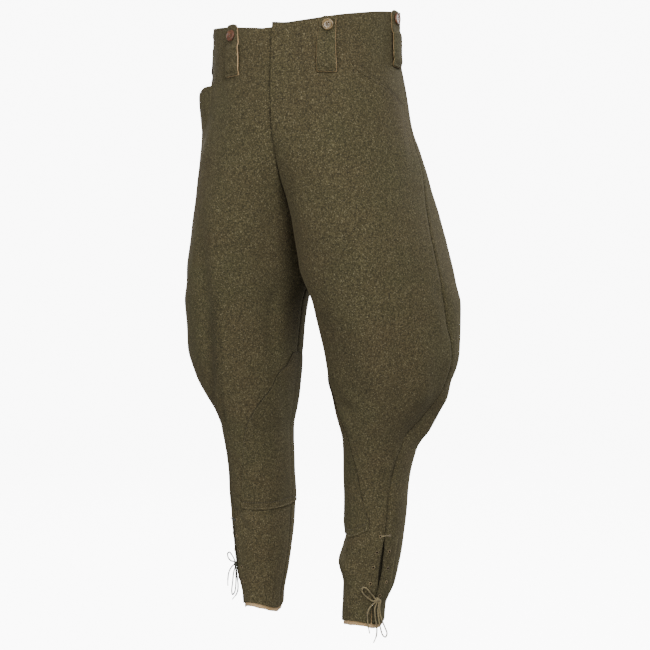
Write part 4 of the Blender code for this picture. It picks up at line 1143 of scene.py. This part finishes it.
def button(place, side_name, top_turn, foot_turn, above, foot, button_drop, horn, thread):
    """A turned horn button: a dished face inside a raised rim, with four holes where the thread goes in."""
    side = SIDES[side_name]
    top = rim_height(side, np.radians(top_turn)) + above * MM
    height = top - button_drop * MM
    turn = np.radians(top_turn + (foot_turn - top_turn) * button_drop * MM / (top - foot * MM))
    seat = LOOP_GAP + BACKING + SEAM_GAP + LOOP_WALL + SEAM_GAP
    middle = outside(side_name, turn, height, seat)
    out = facing(side, turn, height, form)
    profile = curve_profile(BUTTON_PROFILE, BUTTON_RINGS)
    grid, across_way, up = revolved(middle, out, profile, BUTTON_TURNS)
    flat = grid - middle
    reach = BUTTON_HOLES / np.sqrt(2)
    hole = np.hypot(np.abs(flat @ across_way) - reach, np.abs(flat @ up) - reach)
    face = (np.arange(len(grid)) > len(grid) // 2)[:, None]
    sunk = smooth((BUTTON_HOLE_REACH - hole) / BUTTON_HOLE_SOFT) * face
    grid = grid - (BUTTON_SINK * sunk)[..., None] * out
    obj = surface_object(f"button_{place}_horn", grid.reshape(-1, 3), capped(*grid.shape[:2]), horn)
    tidy_piece(obj, [f"button_{place}"])
    t = np.linspace(0.0, 1.0, BUTTON_THREAD_POINTS)[:, None]
    along = -reach + t * (2 * reach)
    rise = BUTTON_FACE + BUTTON_THREAD_HIGH - BUTTON_THREAD_SINK * (2 * t - 1.0) ** 6
    strands = []
    for level in (-reach, reach):
        for apart in (-BUTTON_THREAD_APART, BUTTON_THREAD_APART):
            strands.append(middle + along * across_way + (level + apart) * up + rise * out)
    sewn = joined_tubes(f"button_{place}_thread", strands, BUTTON_THREAD, out, THREAD_SIDES, thread)
    return sewn


def curve_profile(corners, count):
    """A profile through its corners, read at even steps of length."""
    corners = np.array(corners, float) * MM
    gone = gone_along(corners)
    even = np.linspace(0.0, gone[-1], count)
    return np.stack([np.interp(even, gone, corners[:, k]) for k in range(2)], axis=1)


def tube(points, radius, out, sides, relief_of=None):
    """Rings round a path: each lies square to it, with its first direction square to the way out."""
    tangent = np.gradient(points, axis=0)
    tangent /= np.linalg.norm(tangent, axis=1, keepdims=True)
    aside = np.cross(tangent, out)
    aside /= np.linalg.norm(aside, axis=1, keepdims=True)
    up = np.cross(aside, tangent)
    angle = 2 * np.pi * np.arange(sides) / sides
    gone = gone_along(points)
    size = np.broadcast_to(np.asarray(radius, float), (len(points),))[:, None]
    if relief_of is not None:
        size = size * relief_of(angle[None, :], gone[:, None])
    ring = np.cos(angle)[None, :, None] * aside[:, None] + np.sin(angle)[None, :, None] * up[:, None]
    return points[:, None] + size[..., None] * ring


def braid(angle, gone):
    """Relief of a round braid: two opposed spirals of strands, multiplied."""
    turn = 2 * np.pi * gone / BRAID_PITCH
    return 1.0 + BRAID_DEPTH * np.sin(2 * angle + turn) * np.sin(2 * angle - turn)


def joined_tubes(name, lines, radius, out, sides, material):
    """Short tubes with domed ends, in one mesh."""
    points = []
    quads = []
    start = 0
    for k, line in enumerate(lines):
        way = out[k] if np.ndim(out) == 2 else out
        share = np.linspace(-1.0, 1.0, len(line))
        grid = tube(line, radius * np.sqrt(np.clip(1.0 - share**8, THREAD_END, 1.0)), way, sides)
        quads.append(capped(len(line), sides, start))
        points.append(grid.reshape(-1, 3))
        start += len(line) * sides
    return surface_object(name, np.concatenate(points), np.concatenate(quads), material)


def sewn_line(name, side_name, path, material, rise):
    """A row of stitches along a path on the cloth, given as turn and height, each a short domed thread."""
    turns, heights = np.transpose(np.array(path, float))
    gone = gone_along(outside(side_name, np.radians(turns), heights * MM, 0.0))
    step = STITCH + STITCH_GAP
    count = max(int(gone[-1] / step), 1)
    starts = np.arange(count) * step + STITCH_GAP / 2
    at = starts[:, None] + np.linspace(0.0, STITCH, STITCH_POINTS)
    turn = curve(gone, np.radians(turns), at)
    z = curve(gone, heights * MM, at)
    bow = THREAD * (STITCH_CROWN - STITCH_SINK * np.linspace(-1.0, 1.0, STITCH_POINTS) ** 4)
    lines = outside(side_name, turn, z, rise + bow)
    middle = STITCH_POINTS // 2
    ways = facing(SIDES[side_name], turn[:, middle], z[:, middle], form)
    return joined_tubes(name, list(lines), THREAD / 2, ways, THREAD_SIDES, material)


def patch_edges(side_name, turns):
    """Heights of a knee patch's upper and lower edge, in millimetres."""
    return [column(PATCH, PATCH_COLUMNS, f"{side_name}_{edge}", turns) for edge in ("top", "foot")]


def knee_patch(side_name, wool):
    """A patch across the inseam, whose upper edge climbs to a point on the inner thigh."""
    side = SIDES[side_name]
    turns = PATCH_BACK + (PATCH_FRONT - PATCH_BACK) * crowded(PATCH_GRID[0])
    top, foot = (edge * MM for edge in patch_edges(side_name, turns))
    z = top + (foot - top) * crowded(PATCH_GRID[1])[:, None]
    turn = np.radians(turns) + 0.0 * z
    gone = gone_across(form(side, turn, z))
    near = np.minimum(np.minimum(gone, gone[:, -1:] - gone), np.minimum(top - z, z - foot))
    second = z - foot - PATCH_SECOND
    rim = PATCH_RIM * bell(near - PATCH_RIM_IN, PATCH_RIM_REACH)
    fall = np.minimum(rounded(near), PATCH_ROUND * PATCH_WALL) - rim
    sewn = PATCH_DIP * bell(near - PATCH_STITCH, PATCH_STITCH_REACH)
    sewn = sewn + PATCH_DIP * bell(second, PATCH_STITCH_REACH)
    outer = lift(side, turn, z, PATCH_GAP + PATCH_WALL - fall - sewn)
    inner = lift(side, turn, z, PATCH_GAP + np.maximum(fall, 0.0))
    # Painted light and shade: a highlight inside the edge, a shadow along it and along the second row.
    line = PATCH_EDGE_SHADOW[side_name]
    painted_shading = PATCH_LIGHT * bell(near - PATCH_LIGHT_IN, PATCH_RIM_REACH) - PATCH_SHADE
    painted_shading = painted_shading - line * bell(near, PATCH_EDGE_SHADOW_REACH)
    painted_shading = painted_shading - 0.5 * line * bell(second, PATCH_SECOND_REACH)
    obj = slab(f"knee_patch_{side_name}_cloth", outer, inner, wool, shade=painted_shading)
    tidy_piece(obj, [f"knee_patch_{side_name}"])
    return declare_cloth(obj, (outer + inner) / 2, row=-1)


def patch_stitches(side_name, thread):
    """Three rows: just inside the patch's upper and lower edges, and a second one above the lower edge."""
    turns = np.linspace(PATCH_BACK + PATCH_STITCH_ENDS, PATCH_FRONT - PATCH_STITCH_ENDS, PATCH_STITCH_POINTS)
    top, foot = patch_edges(side_name, turns)
    inner = PATCH_STITCH / MM
    rise = PATCH_GAP + PATCH_WALL - PATCH_DIP
    for row, heights in (("top", top - inner), ("foot", foot + inner), ("second", foot + PATCH_SECOND / MM)):
        keep = (heights < top - 1) & (heights > foot + 1)
        path = np.stack([turns[keep], heights[keep]], axis=1)
        sewn_line(f"patch_{side_name}_{row}_stitches", side_name, path, thread, rise)


def hem_facing(side_name, cotton):
    """A cotton band inside the hem that hangs a little below the wool at the front."""
    side = SIDES[side_name]
    turns = np.linspace(0.0, 2 * np.pi, FACING_GRID[0], endpoint=False)
    degrees = (np.degrees(turns) + 90) % 360 - 90
    shown = smooth((degrees - FACING_FROM) / FACING_FADE) * smooth((FACING_TO - degrees) / FACING_FADE)
    wander = 1.0
    for height, times, phase in FACING_WANDER:
        wander = wander + height * np.sin(times * turns + phase)
    top = HEM + FACING_HEIGHT
    foot = HEM + FACING_TUCK - (FACING_TUCK + FACING_DROP * wander) * shown - hem_dip(side, turns)
    z = top + (foot - HEM - FACING_HEIGHT) * crowded(FACING_GRID[1])[:, None]
    turn = turns + 0.0 * z
    fall = np.minimum(rounded(np.minimum(z - foot, top - z)), STRIP_ROUND * FACING_WALL)
    outer = lift(side, turn, z, -WALL - LAY_GAP - fall)
    inner = lift(side, turn, z, -WALL - LAY_GAP - FACING_WALL + fall)
    obj = slab(f"hem_facing_{side_name}_cloth", outer, inner, cotton, ring=True)
    tidy_piece(obj, [f"hem_facing_{side_name}"])
    middle = (outer + inner) / 2
    middle = np.concatenate([middle, middle[:, :1]], axis=1)
    return declare_cloth(obj, middle)


def strip_piece(node, side, turn, z, high, thick, material, bow=0.0):
    """A thin strip inside the cloth, its outer face at the height high, its edges rounded over."""
    share = np.abs(np.linspace(-1.0, 1.0, turn.shape[1]))
    edges = STRIP_ROUND * thick * share**12
    bowed = bow * (1.0 - share**2)
    outer = lift(side, turn, z, high - (edges + bowed))
    inner = lift(side, turn, z, high - thick - bowed + edges)
    # A hidden strip is painted nearly black, as the deep shade it lies in.
    obj = slab(f"{node}_cloth", outer, inner, material, shade=np.full(turn.shape, HIDDEN_SHADE))
    tidy_piece(obj, [node])
    return declare_cloth(obj, (outer + inner) / 2)


def slit_underlap(side_name, wool):
    """A wool strip behind the laced slit, wider behind it than before it."""
    side = SIDES[side_name]
    rows, columns = SLIT_UNDERLAP_GRID
    z = np.linspace(SLIT_TOP + UNDERLAP_OVER, SLIT_FOOT - UNDERLAP_OVER, rows)[:, None]
    middle = seam_turn(z) + (UNDERLAP_WIDTH / 2 - UNDERLAP_FORE) / pace(side, seam_turn(z), z)
    turn = middle + UNDERLAP_WIDTH * np.linspace(-0.5, 0.5, columns) / pace(side, middle, z)
    high = -WALL - UNDERLAP_GAP
    node = f"slit_underlap_{side_name}"
    return strip_piece(node, side, turn, z + 0.0 * turn, high, UNDERLAP_WALL, wool, SLIT_DEPTH)


def pocket_facing(side_name, wool):
    """The cloth that shows behind the gaping pocket mouth."""
    side = SIDES[side_name]
    rows, columns = POCKET_GRID
    turns = np.radians(np.linspace(POCKET_FORE, POCKET_AFT, columns))
    share = np.linspace(0.0, 1.0, rows)[:, None]
    z = mouth_height(turns) + POCKET_ABOVE - (POCKET_ABOVE + POCKET_BELOW) * share
    high = -WALL - POCKET_GAP
    return strip_piece(f"pocket_facing_{side_name}", side, turns + 0.0 * z, z, high, FACING_WALL, wool)


def fly_underlap(wool):
    """The strip that carries the fly's buttons, behind both fronts."""
    rows, right_columns, left_columns = FLY_UNDERLAP_GRID
    right_x = np.linspace(-UNDERLAY_RIGHT, 0.0, right_columns)
    left_x = np.linspace(0.0, UNDERLAY_LEFT, left_columns)[1:]
    x = np.concatenate([right_x, left_x])[None, :]
    top = rim_height(1, np.radians(90.0)) - UNDERLAY_TOP
    z = np.linspace(top, FLY_FOOT - UNDERLAY_FOOT, rows)[:, None] + 0.0 * x
    x = x + 0.0 * z
    left = turn_at(1, np.maximum(x, 0.0), z)
    right = turn_at(-1, np.maximum(-x, 0.0), z)
    outer, inner = (
        np.where(x[..., None] < 0, lift(-1, right, z, rise), lift(1, left, z, rise))
        for rise in (-WALL - FLY_GAP, -WALL - FLY_GAP - UNDERLAP_WALL)
    )
    obj = slab("fly_underlap_cloth", outer, inner, wool)
    tidy_piece(obj, ["fly_underlap"])
    return declare_cloth(obj, (outer + inner) / 2)


def flowing(points, spacing):
    """A smooth curve through the points, read at even steps: Catmull-Rom pieces."""
    ends = np.concatenate([[2 * points[0] - points[1]], points, [2 * points[-1] - points[-2]]])
    t = np.linspace(0.0, 1.0, FLOW_STEPS, endpoint=False)[:, None]
    runs = []
    for a, b, c, d in zip(ends[:-3], ends[1:-2], ends[2:-1], ends[3:]):
        runs.append(
            0.5 * (2 * b + (c - a) * t + (2 * a - 5 * b + 4 * c - d) * t**2 + (3 * b - a - 3 * c + d) * t**3)
        )
    fine = np.concatenate(runs + [points[-1:]])
    gone = gone_along(fine)
    even = np.linspace(0.0, gone[-1], max(int(round(gone[-1] / spacing)), 3) + 1)
    return np.stack([np.interp(even, gone, fine[:, k]) for k in range(3)], axis=1)


def knot_frame(side_name):
    """The knot's middle, and its directions towards the back, up and out."""
    side = SIDES[side_name]
    degrees, height = KNOTS[side_name]
    turn = np.radians(degrees)
    middle = outside(side_name, turn, height * MM, LAY_GAP + KNOT_SIZE[2] / 2)
    out = facing(side, turn, height * MM, form)
    back = side * np.cross([0.0, 0.0, 1.0], out)
    back /= np.linalg.norm(back)
    return middle, back, side * np.cross(out, back), out


def beside_knot(side_name, degrees, away):
    """Points at the distances in away from the knot's surface, in one direction round it."""
    middle, back, up, _ = knot_frame(side_name)
    angle = np.radians(degrees)
    reach = 0.5 / np.hypot(np.cos(angle) / KNOT_SIZE[0], np.sin(angle) / KNOT_SIZE[1])
    way = np.cos(angle) * back + np.sin(angle) * up
    return middle + (reach + np.array(away))[:, None] * way


def lace(name, side_name, leaves, path, returns, cotton):
    """A braided lace along a path, straight out of the knot and back into it where an angle is given."""
    turns, heights, out = np.transpose(np.array(path, float))
    route = [outside(side_name, np.radians(turns), heights * MM, out * MM)]
    if leaves is not None:
        route.insert(0, beside_knot(side_name, leaves, (-KNOT_SINK, KNOT_LEAD)))
    if returns is not None:
        route.append(beside_knot(side_name, returns, (KNOT_LEAD, -KNOT_SINK)))
    line = flowing(np.concatenate(route), LACE_RING_STEP)
    ways = facing(SIDES[side_name], np.radians(turns.mean()), heights.mean() * MM, form)
    taper = np.ones(len(line))
    if leaves is not None and returns is None:
        gone = np.linspace(0.0, 1.0, len(line)) * len(line) * LACE_RING_STEP
        taper = np.where(gone[-1] - gone < LACE_TIP, LACE_TIP_SHARE, 1.0)
    grid = tube(line, LACE_WIDTH / 2 * taper, ways, LACE_SIDES, braid)
    quads = capped(*grid.shape[:2])
    obj = surface_object(f"lace_{name}_{side_name}_cord", grid.reshape(-1, 3), quads, cotton)
    tidy_piece(obj, [f"lace_{name}_{side_name}"])
    return obj


def lace_knot(side_name, cotton):
    """The bow's knot: three wraps of the lace round one another, each a closed ring of cord."""
    middle, back, up, out = knot_frame(side_name)
    points = []
    quads = []
    angle = 2 * np.pi * np.arange(KNOT_RINGS) / KNOT_RINGS
    turn = 2 * np.pi * np.arange(LACE_SIDES) / LACE_SIDES
    for number, (along, tilt, reach, depth, shift) in enumerate(KNOT_WRAPS):
        a = np.radians(tilt)
        lengthways = np.cos(a) * up + np.sin(a) * back
        centre = middle + shift * MM * (np.cos(a) * back - np.sin(a) * up) + along * MM * out
        ring = centre + reach * MM * np.cos(angle)[:, None] * lengthways
        ring = ring + depth * MM * np.sin(angle)[:, None] * out
        tangent = np.roll(ring, -1, axis=0) - np.roll(ring, 1, axis=0)
        tangent /= np.linalg.norm(tangent, axis=1, keepdims=True)
        aside = np.cross(lengthways, out)
        away = np.cross(tangent, aside)
        size = LACE_WIDTH / 2 * braid(turn[None, :], (angle * reach * MM)[:, None])
        across = np.cos(turn)[None, :, None] * aside + np.sin(turn)[None, :, None] * away[:, None]
        points.append((ring[:, None] + size[..., None] * across).reshape(-1, 3))
        quads.append(looped(KNOT_RINGS, LACE_SIDES, number * KNOT_RINGS * LACE_SIDES))
    obj = surface_object(f"lace_knot_{side_name}_cord", np.concatenate(points), np.concatenate(quads), cotton)
    return tidy_piece(obj, [f"lace_knot_{side_name}"])


def eyelets(side_name, thread, dark):
    """Overcast eyelets: a ring of cord with a bulge at each stitch, round a dished hole painted near black as
    shade.
    """
    side = SIDES[side_name]
    _, back, up, _ = knot_frame(side_name)
    rings, sides = EYELET_GRID
    angle = 2 * np.pi * np.arange(rings) / rings
    cross = 2 * np.pi * np.arange(sides) / sides
    bulge = EYELET_CORD * (1.0 + EYELET_BULGE * np.abs(np.cos(EYELET_STITCHES * angle / 2)))
    profile = np.array(EYELET_PROFILE) * MM
    rims = []
    rim_quads = []
    dishes = []
    dish_quads = []
    for number, (degrees, height) in enumerate(EYELETS):
        turn = np.radians(degrees)
        middle = outside(side_name, turn, height * MM, 0.0)
        out = facing(side, turn, height * MM, form)
        away = np.cos(angle)[:, None] * back + np.sin(angle)[:, None] * up
        away = away - (away @ out)[:, None] * out
        away /= np.linalg.norm(away, axis=1, keepdims=True)
        round_cord = np.cos(cross)[None, :, None] * away[:, None] + np.sin(cross)[None, :, None] * out
        circle = middle + EYELET_STAND * out + EYELET_RADIUS * away[:, None]
        rims.append((circle + bulge[:, None, None] * round_cord).reshape(-1, 3))
        rim_quads.append(looped(rings, sides, number * rings * sides))
        dish, _, _ = revolved(middle, out, profile, EYELET_HOLE_SIDES)
        dishes.append(dish.reshape(-1, 3))
        dish_quads.append(capped(*dish.shape[:2], number * dish.shape[0] * dish.shape[1]))
    # The holes take the near-black material that paints their deep shade.
    for kind, points, quads, material in (
        ("rims", rims, rim_quads, thread),
        ("holes", dishes, dish_quads, dark),
    ):
        name = f"eyelet_{kind}_{side_name}"
        surface_object(name, np.concatenate(points), np.concatenate(quads), material)


def linear(code):
    """A colour given as an sRGB hex code, as linear red, green, blue and alpha."""
    values = [int(code[k : k + 2], 16) / 255 for k in (1, 3, 5)]
    return (*(v / 12.92 if v <= 0.04045 else ((v + 0.055) / 1.055) ** 2.4 for v in values), 1.0)


def add(tree, kind, inputs=None, stops=(), **settings):
    """Adds a node with its settings, its ramp's stops and its inputs: values or other nodes' outputs."""
    node = tree.nodes.new(f"ShaderNode{kind}")
    for name, value in settings.items():
        setattr(node, name, value)
    for number, (place, colour) in enumerate(stops):
        if number > 1:
            node.color_ramp.elements.new(place)
        element = node.color_ramp.elements[number]
        element.position = place
        element.color = linear(colour) if isinstance(colour, str) else (colour, colour, colour, 1.0)
    for name, value in (inputs or {}).items():
        if isinstance(value, bpy.types.NodeSocket):
            tree.links.new(value, node.inputs[name])
        else:
            node.inputs[name].default_value = linear(value) if isinstance(value, str) else value
    return node


def started(name, roughness, **inputs):
    """A new material with its shader, its object coordinates and its node tree."""
    material = bpy.data.materials.new(name)
    material.use_nodes = True
    tree = material.node_tree
    shader = tree.nodes["Principled BSDF"]
    shader.inputs["Roughness"].default_value = roughness
    for key, value in inputs.items():
        shader.inputs[key.replace("_", " ")].default_value = value
    place = add(tree, "TexCoord").outputs["Object"]
    return material, tree, shader, place


def blobs(size):
    """The scale of a noise whose blobs are about size across, in metres."""
    return 0.5 / size


def finished(tree, shader, colour, height, distance):
    """Links a colour and the bump of a height into the shader."""
    tree.links.new(colour, shader.inputs["Base Color"])
    bump = add(tree, "Bump", {"Height": height, "Strength": 1.0, "Distance": distance})
    tree.links.new(bump.outputs["Normal"], shader.inputs["Normal"])


def wool_material(name, tones, shift=0.0):
    """Milled woollen cloth, woven of dark olive and brown fibre: matt, with a short nap and light flecks.

    Real fibres are 0.03 mm and the twill 1.5 mm, too fine to show, so the flecks are drawn 1 to 2 mm across.
    The attribute shade is painted light and shade: it darkens seams, creases and hidden cloth and lightens
    edges.
    """
    material, tree, shader, place = started(name, 0.94, Sheen_Weight=0.28, Sheen_Roughness=0.55)
    shader.inputs["Specular IOR Level"].default_value = 0.2
    shader.inputs["Sheen Tint"].default_value = linear("#8a8064")
    moved = add(
        tree, "Mapping", {"Vector": place, "Location": (shift, shift * 2, shift * 3)}
    ).outputs["Vector"]
    dark, middle, light, warm, green, fleck, deep = tones
    heather = add(
        tree, "TexNoise", {"Vector": moved, "Scale": blobs(1.1 * MM), "Detail": 2.0, "Roughness": 0.6}
    ).outputs["Fac"]
    base = add(
        tree, "ValToRGB", {"Fac": heather}, ((0.33, dark), (0.5, middle), (0.67, light))
    ).outputs["Color"]
    patch = add(
        tree, "TexNoise", {"Vector": moved, "Scale": blobs(62 * MM), "Detail": 3.0, "Roughness": 0.55}
    ).outputs["Fac"]
    tint = add(tree, "ValToRGB", {"Fac": patch}, ((0.36, warm), (0.64, green))).outputs["Color"]
    soft = {"data_type": "RGBA", "blend_type": "SOFT_LIGHT"}
    base = add(tree, "Mix", {0: 0.42, 6: base, 7: tint}, **soft).outputs[2]
    small = add(
        tree, "TexNoise", {"Vector": moved, "Scale": blobs(16 * MM), "Detail": 2.0, "Roughness": 0.5}
    ).outputs["Fac"]
    mottle = add(tree, "ValToRGB", {"Fac": small}, ((0.36, green), (0.64, warm))).outputs["Color"]
    base = add(tree, "Mix", {0: 0.2, 6: base, 7: mottle}, **soft).outputs[2]
    grain = add(
        tree, "TexNoise", {"Vector": moved, "Scale": blobs(0.8 * MM), "Detail": 1.0, "Roughness": 0.7}
    ).outputs["Fac"]
    lit = add(
        tree, "MapRange", {"Value": grain, "From Min": 0.58, "From Max": 0.70, "To Max": 0.38}
    ).outputs["Result"]
    base = add(tree, "Mix", {0: lit, 6: base, 7: fleck}, data_type="RGBA").outputs[2]
    other = add(
        tree, "TexNoise", {"Vector": moved, "Scale": blobs(1.0 * MM), "Detail": 1.0, "Roughness": 0.6}
    ).outputs["Fac"]
    shaded = add(
        tree, "MapRange", {"Value": other, "From Min": 0.42, "From Max": 0.30, "To Max": 0.45}
    ).outputs["Result"]
    base = add(tree, "Mix", {0: shaded, 6: base, 7: deep}, data_type="RGBA").outputs[2]
    drawn = add(tree, "Mapping", {"Vector": moved, "Scale": (2.2, 2.2, 0.34)}).outputs["Vector"]
    streaks = add(tree, "TexNoise", {"Vector": drawn, "Scale": blobs(9 * MM), "Detail": 2.0}).outputs["Fac"]
    grey = add(tree, "ValToRGB", {"Fac": streaks}, ((0.3, 0.40), (0.7, 0.60))).outputs["Color"]
    base = add(tree, "Mix", {0: 0.22, 6: base, 7: grey}, data_type="RGBA", blend_type="OVERLAY").outputs[2]
    # Painted light and shade: the attribute shade scales the colour from a tenth to nearly twice its value.
    shade = add(tree, "Attribute", attribute_name="shade").outputs["Fac"]
    painted_shading = add(
        tree, "MapRange", {"Value": shade, "From Min": -1.0, "From Max": 1.0, "To Min": 0.1, "To Max": 1.9}
    ).outputs["Result"]
    base = add(tree, "VectorMath", {0: base, "Scale": painted_shading}, operation="SCALE").outputs["Vector"]
    fuzz = add(
        tree, "TexNoise", {"Vector": moved, "Scale": blobs(0.9 * MM), "Detail": 3.0, "Roughness": 0.7}
    ).outputs["Fac"]
    lumps = add(tree, "Math", {0: heather, 1: 0.8, 2: fuzz}, operation="MULTIPLY_ADD").outputs[0]
    finished(tree, shader, base, lumps, 0.5 * MM)
    return material


def cotton_material(name, light, dark):
    """Plain woven cotton, unbleached to tan: matt, with a fine regular weave, drawn at 0.9 mm for 0.4 mm."""
    material, tree, shader, place = started(name, 0.88, Sheen_Weight=0.15)
    turned = add(tree, "Mapping", {"Vector": place, "Rotation": (0.0, 0.0, 0.4)}).outputs["Vector"]
    thread = {"Vector": turned, "Scale": 0.31 / (0.9 * MM), "Distortion": 0.8, "Detail": 1.0}
    weft = add(tree, "TexWave", thread, bands_direction="Z").outputs["Fac"]
    warp = add(tree, "TexWave", thread, bands_direction="X").outputs["Fac"]
    weave = add(tree, "Math", {0: weft, 1: warp}, operation="MULTIPLY").outputs[0]
    stain = add(tree, "TexNoise", {"Vector": place, "Scale": blobs(12 * MM), "Detail": 3.0}).outputs["Fac"]
    both = add(tree, "Math", {0: weave, 1: 0.3, 2: stain}, operation="MULTIPLY_ADD").outputs[0]
    colour = add(tree, "ValToRGB", {"Fac": both}, ((0.35, dark), (0.75, light))).outputs["Color"]
    finished(tree, shader, colour, weave, 0.25 * MM)
    return material


def thread_material(name, light, dark, strand=0.5 * MM, roughness=0.7):
    """Spun thread or braided cord: a low sheen, and tone that changes from strand to strand."""
    material, tree, shader, place = started(name, roughness, Sheen_Weight=0.2)
    strands = add(
        tree, "TexNoise", {"Vector": place, "Scale": blobs(strand), "Detail": 2.0, "Roughness": 0.6}
    ).outputs["Fac"]
    slow = add(tree, "TexNoise", {"Vector": place, "Scale": blobs(9 * MM), "Detail": 2.0}).outputs["Fac"]
    both = add(tree, "Math", {0: strands, 1: 0.6, 2: slow}, operation="MULTIPLY_ADD").outputs[0]
    colour = add(tree, "ValToRGB", {"Fac": both}, ((0.6, dark), (1.0, light))).outputs["Color"]
    finished(tree, shader, colour, strands, 0.3 * MM)
    return material


def horn_material(name, dark, middle, light):
    """Sawn and polished horn: satin, with soft streaks from tan to brown that run one way."""
    material, tree, shader, place = started(name, 0.42, IOR=1.54)
    shader.inputs["Coat Weight"].default_value = 0.1
    drawn = add(
        tree, "Mapping", {"Vector": place, "Rotation": (0.3, 0.5, 0.2), "Scale": (1.0, 0.35, 1.6)}
    ).outputs["Vector"]
    streaks = {"Vector": drawn, "Scale": blobs(3.5 * MM), "Detail": 4.0, "Roughness": 0.6, "Distortion": 0.8}
    streak = add(tree, "TexNoise", streaks).outputs["Fac"]
    colour = add(
        tree, "ValToRGB", {"Fac": streak}, ((0.3, dark), (0.5, middle), (0.72, light))
    ).outputs["Color"]
    grain = add(tree, "TexNoise", {"Vector": place, "Scale": blobs(0.8 * MM), "Detail": 2.0}).outputs["Fac"]
    finished(tree, shader, colour, grain, 0.04 * MM)
    return material


def dark_material(name):
    """The inside of an eyelet, which is in deep shade: wool cloth, nearly black."""
    material, tree, shader, place = started(name, 1.0)
    shader.inputs["Specular IOR Level"].default_value = 0.0
    fibre = add(tree, "TexNoise", {"Vector": place, "Scale": blobs(0.6 * MM), "Detail": 2.0}).outputs["Fac"]
    colour = add(tree, "ValToRGB", {"Fac": fibre}, ((0.3, "#0d0b08"), (0.7, "#17140e"))).outputs["Color"]
    finished(tree, shader, colour, fibre, 0.3 * MM)
    return material


def camera():
    """The photograph's camera: it looks at the aim from the front, turned towards the wearer's left."""
    data = bpy.data.cameras.new("view")
    data.lens = VIEW_LENS
    data.sensor_width = 36
    obj = bpy.data.objects.new("view", data)
    turn = np.radians(VIEW_TURN)
    rise = np.radians(VIEW_RISE)
    away = Vector((np.sin(turn) * np.cos(rise), -np.cos(turn) * np.cos(rise), np.sin(rise)))
    obj.location = Vector(VIEW_AIM) + VIEW_AWAY * away
    obj.rotation_euler = away.to_track_quat("Z", "Y").to_euler()
    bpy.context.scene.collection.objects.link(obj)
    bpy.context.scene.camera = obj


def floor():
    """A pale floor that curves up into a backdrop all round: a dish whose rim rises as a smooth step."""
    rings, sides = FLOOR_GRID
    rows = np.linspace(0.0, 1.0, rings)
    radius = FLOOR_REACH * rows
    height = FLOOR_LEVEL + FLOOR_RISE * smooth((rows - FLOOR_CURVE[0]) / FLOOR_CURVE[1])
    turn = 2 * np.pi * np.arange(sides) / sides
    x = radius[:, None] * np.cos(turn)
    y = radius[:, None] * np.sin(turn)
    grid = np.stack([x, y, height[:, None] + 0.0 * turn], axis=-1)
    index = np.arange(rings * sides).reshape(rings, sides)
    quads = grid_quads(np.concatenate([index, index[:, :1]], axis=1))
    mesh = bpy.data.meshes.new("floor")
    mesh.from_pydata(grid.reshape(-1, 3).tolist(), [], quads[:, ::-1].tolist())
    mesh.shade_smooth()
    obj = bpy.data.objects.new("floor", mesh)
    bpy.context.scene.collection.objects.link(obj)
    material, tree, shader, place = started("painted_floor", 0.9)
    clouds = add(tree, "TexNoise", {"Vector": place, "Scale": blobs(0.4), "Detail": 2.0}).outputs["Fac"]
    paint = add(tree, "ValToRGB", {"Fac": clouds}, ((0.0, "#fbfbfb"), (1.0, "#ffffff"))).outputs["Color"]
    tree.links.new(paint, shader.inputs["Base Color"])
    shader.inputs["Emission Color"].default_value = (1.0, 1.0, 1.0, 1.0)
    shader.inputs["Emission Strength"].default_value = FLOOR_GLOW
    mesh.materials.append(material)
    obj.visible_diffuse = False
    obj.visible_glossy = False


def light(name, place, size, power, colour="#ffffff"):
    """A square soft light that faces the middle of the breeches."""
    data = bpy.data.lights.new(name, "AREA")
    data.shape = "RECTANGLE"
    data.size, data.size_y = size
    data.energy = power
    data.color = linear(colour)[:3]
    obj = bpy.data.objects.new(name, data)
    obj.location = place
    obj.rotation_euler = (Vector(place) - Vector(VIEW_AIM)).to_track_quat("Z", "Y").to_euler()
    bpy.context.scene.collection.objects.link(obj)


def studio():
    """A pale even surround, a large key light from the front right and above, and weak fills."""
    world = bpy.data.worlds.new("studio")
    world.use_nodes = True
    world.node_tree.nodes["Background"].inputs["Color"].default_value = (1.0, 1.0, 1.0, 1.0)
    world.node_tree.nodes["Background"].inputs["Strength"].default_value = WORLD_LIGHT
    bpy.context.scene.world = world
    for row in LIGHTS:
        light(*row)


def main():
    camera()
    olive = wool_material("milled_wool_cloth", WOOL_TONES)
    darker = wool_material("milled_wool_tabs", WOOL_TONES, 0.37)
    tan = cotton_material("woven_cotton_backing", "#c0a176", "#94764c")
    thread = thread_material("spun_linen_thread_olive", "#5b5138", "#37301f")
    pale = thread_material("spun_linen_thread_tan", "#7a6846", "#463a24")
    khaki = thread_material("braided_cotton_lace_khaki", "#84754f", "#483e28")
    # The right leg's laces are painted dark grey-green as shade, since they hang in shadow; the left ones are
    # khaki.
    grey = thread_material("braided_cotton_lace_painted_shade", "#343629", "#171812")
    horn = horn_material("polished_horn_tan", "#4a3a1e", "#6e5832", "#8a7042")
    brown = horn_material("polished_horn_brown", "#3c2417", "#5f3a26", "#805538")
    dark = dark_material("wool_in_deep_shade")
    for side_name in SIDES:
        panel(side_name, "front", olive)
        panel(side_name, "back", olive)
        pocket_facing(side_name, olive)
        knee_patch(side_name, darker)
        patch_stitches(side_name, thread)
        hem_facing(side_name, tan)
        slit_underlap(side_name, olive)
        # The right knot takes the lace painted dark as shade.
        lace_knot(side_name, khaki if side_name == "left" else grey)
        eyelets(side_name, pale, dark)
    fly_underlap(olive)
    for row in BELT_LOOPS:
        tab(*row, darker, tan)
        tab_stitches(*row, thread)
        button(*row, horn if row[0] in TAN_BUTTONS else brown, pale)
    # The right laces take the lace painted dark as shade.
    for row in LACES:
        lace(*row, khaki if row[1] == "left" else grey)
    for number, (side_name, path) in enumerate(STITCH_LINES):
        sewn_line(f"seam_stitches_{number}_{side_name}", side_name, path, thread, -STITCH_DIP)
    floor()
    studio()


main()
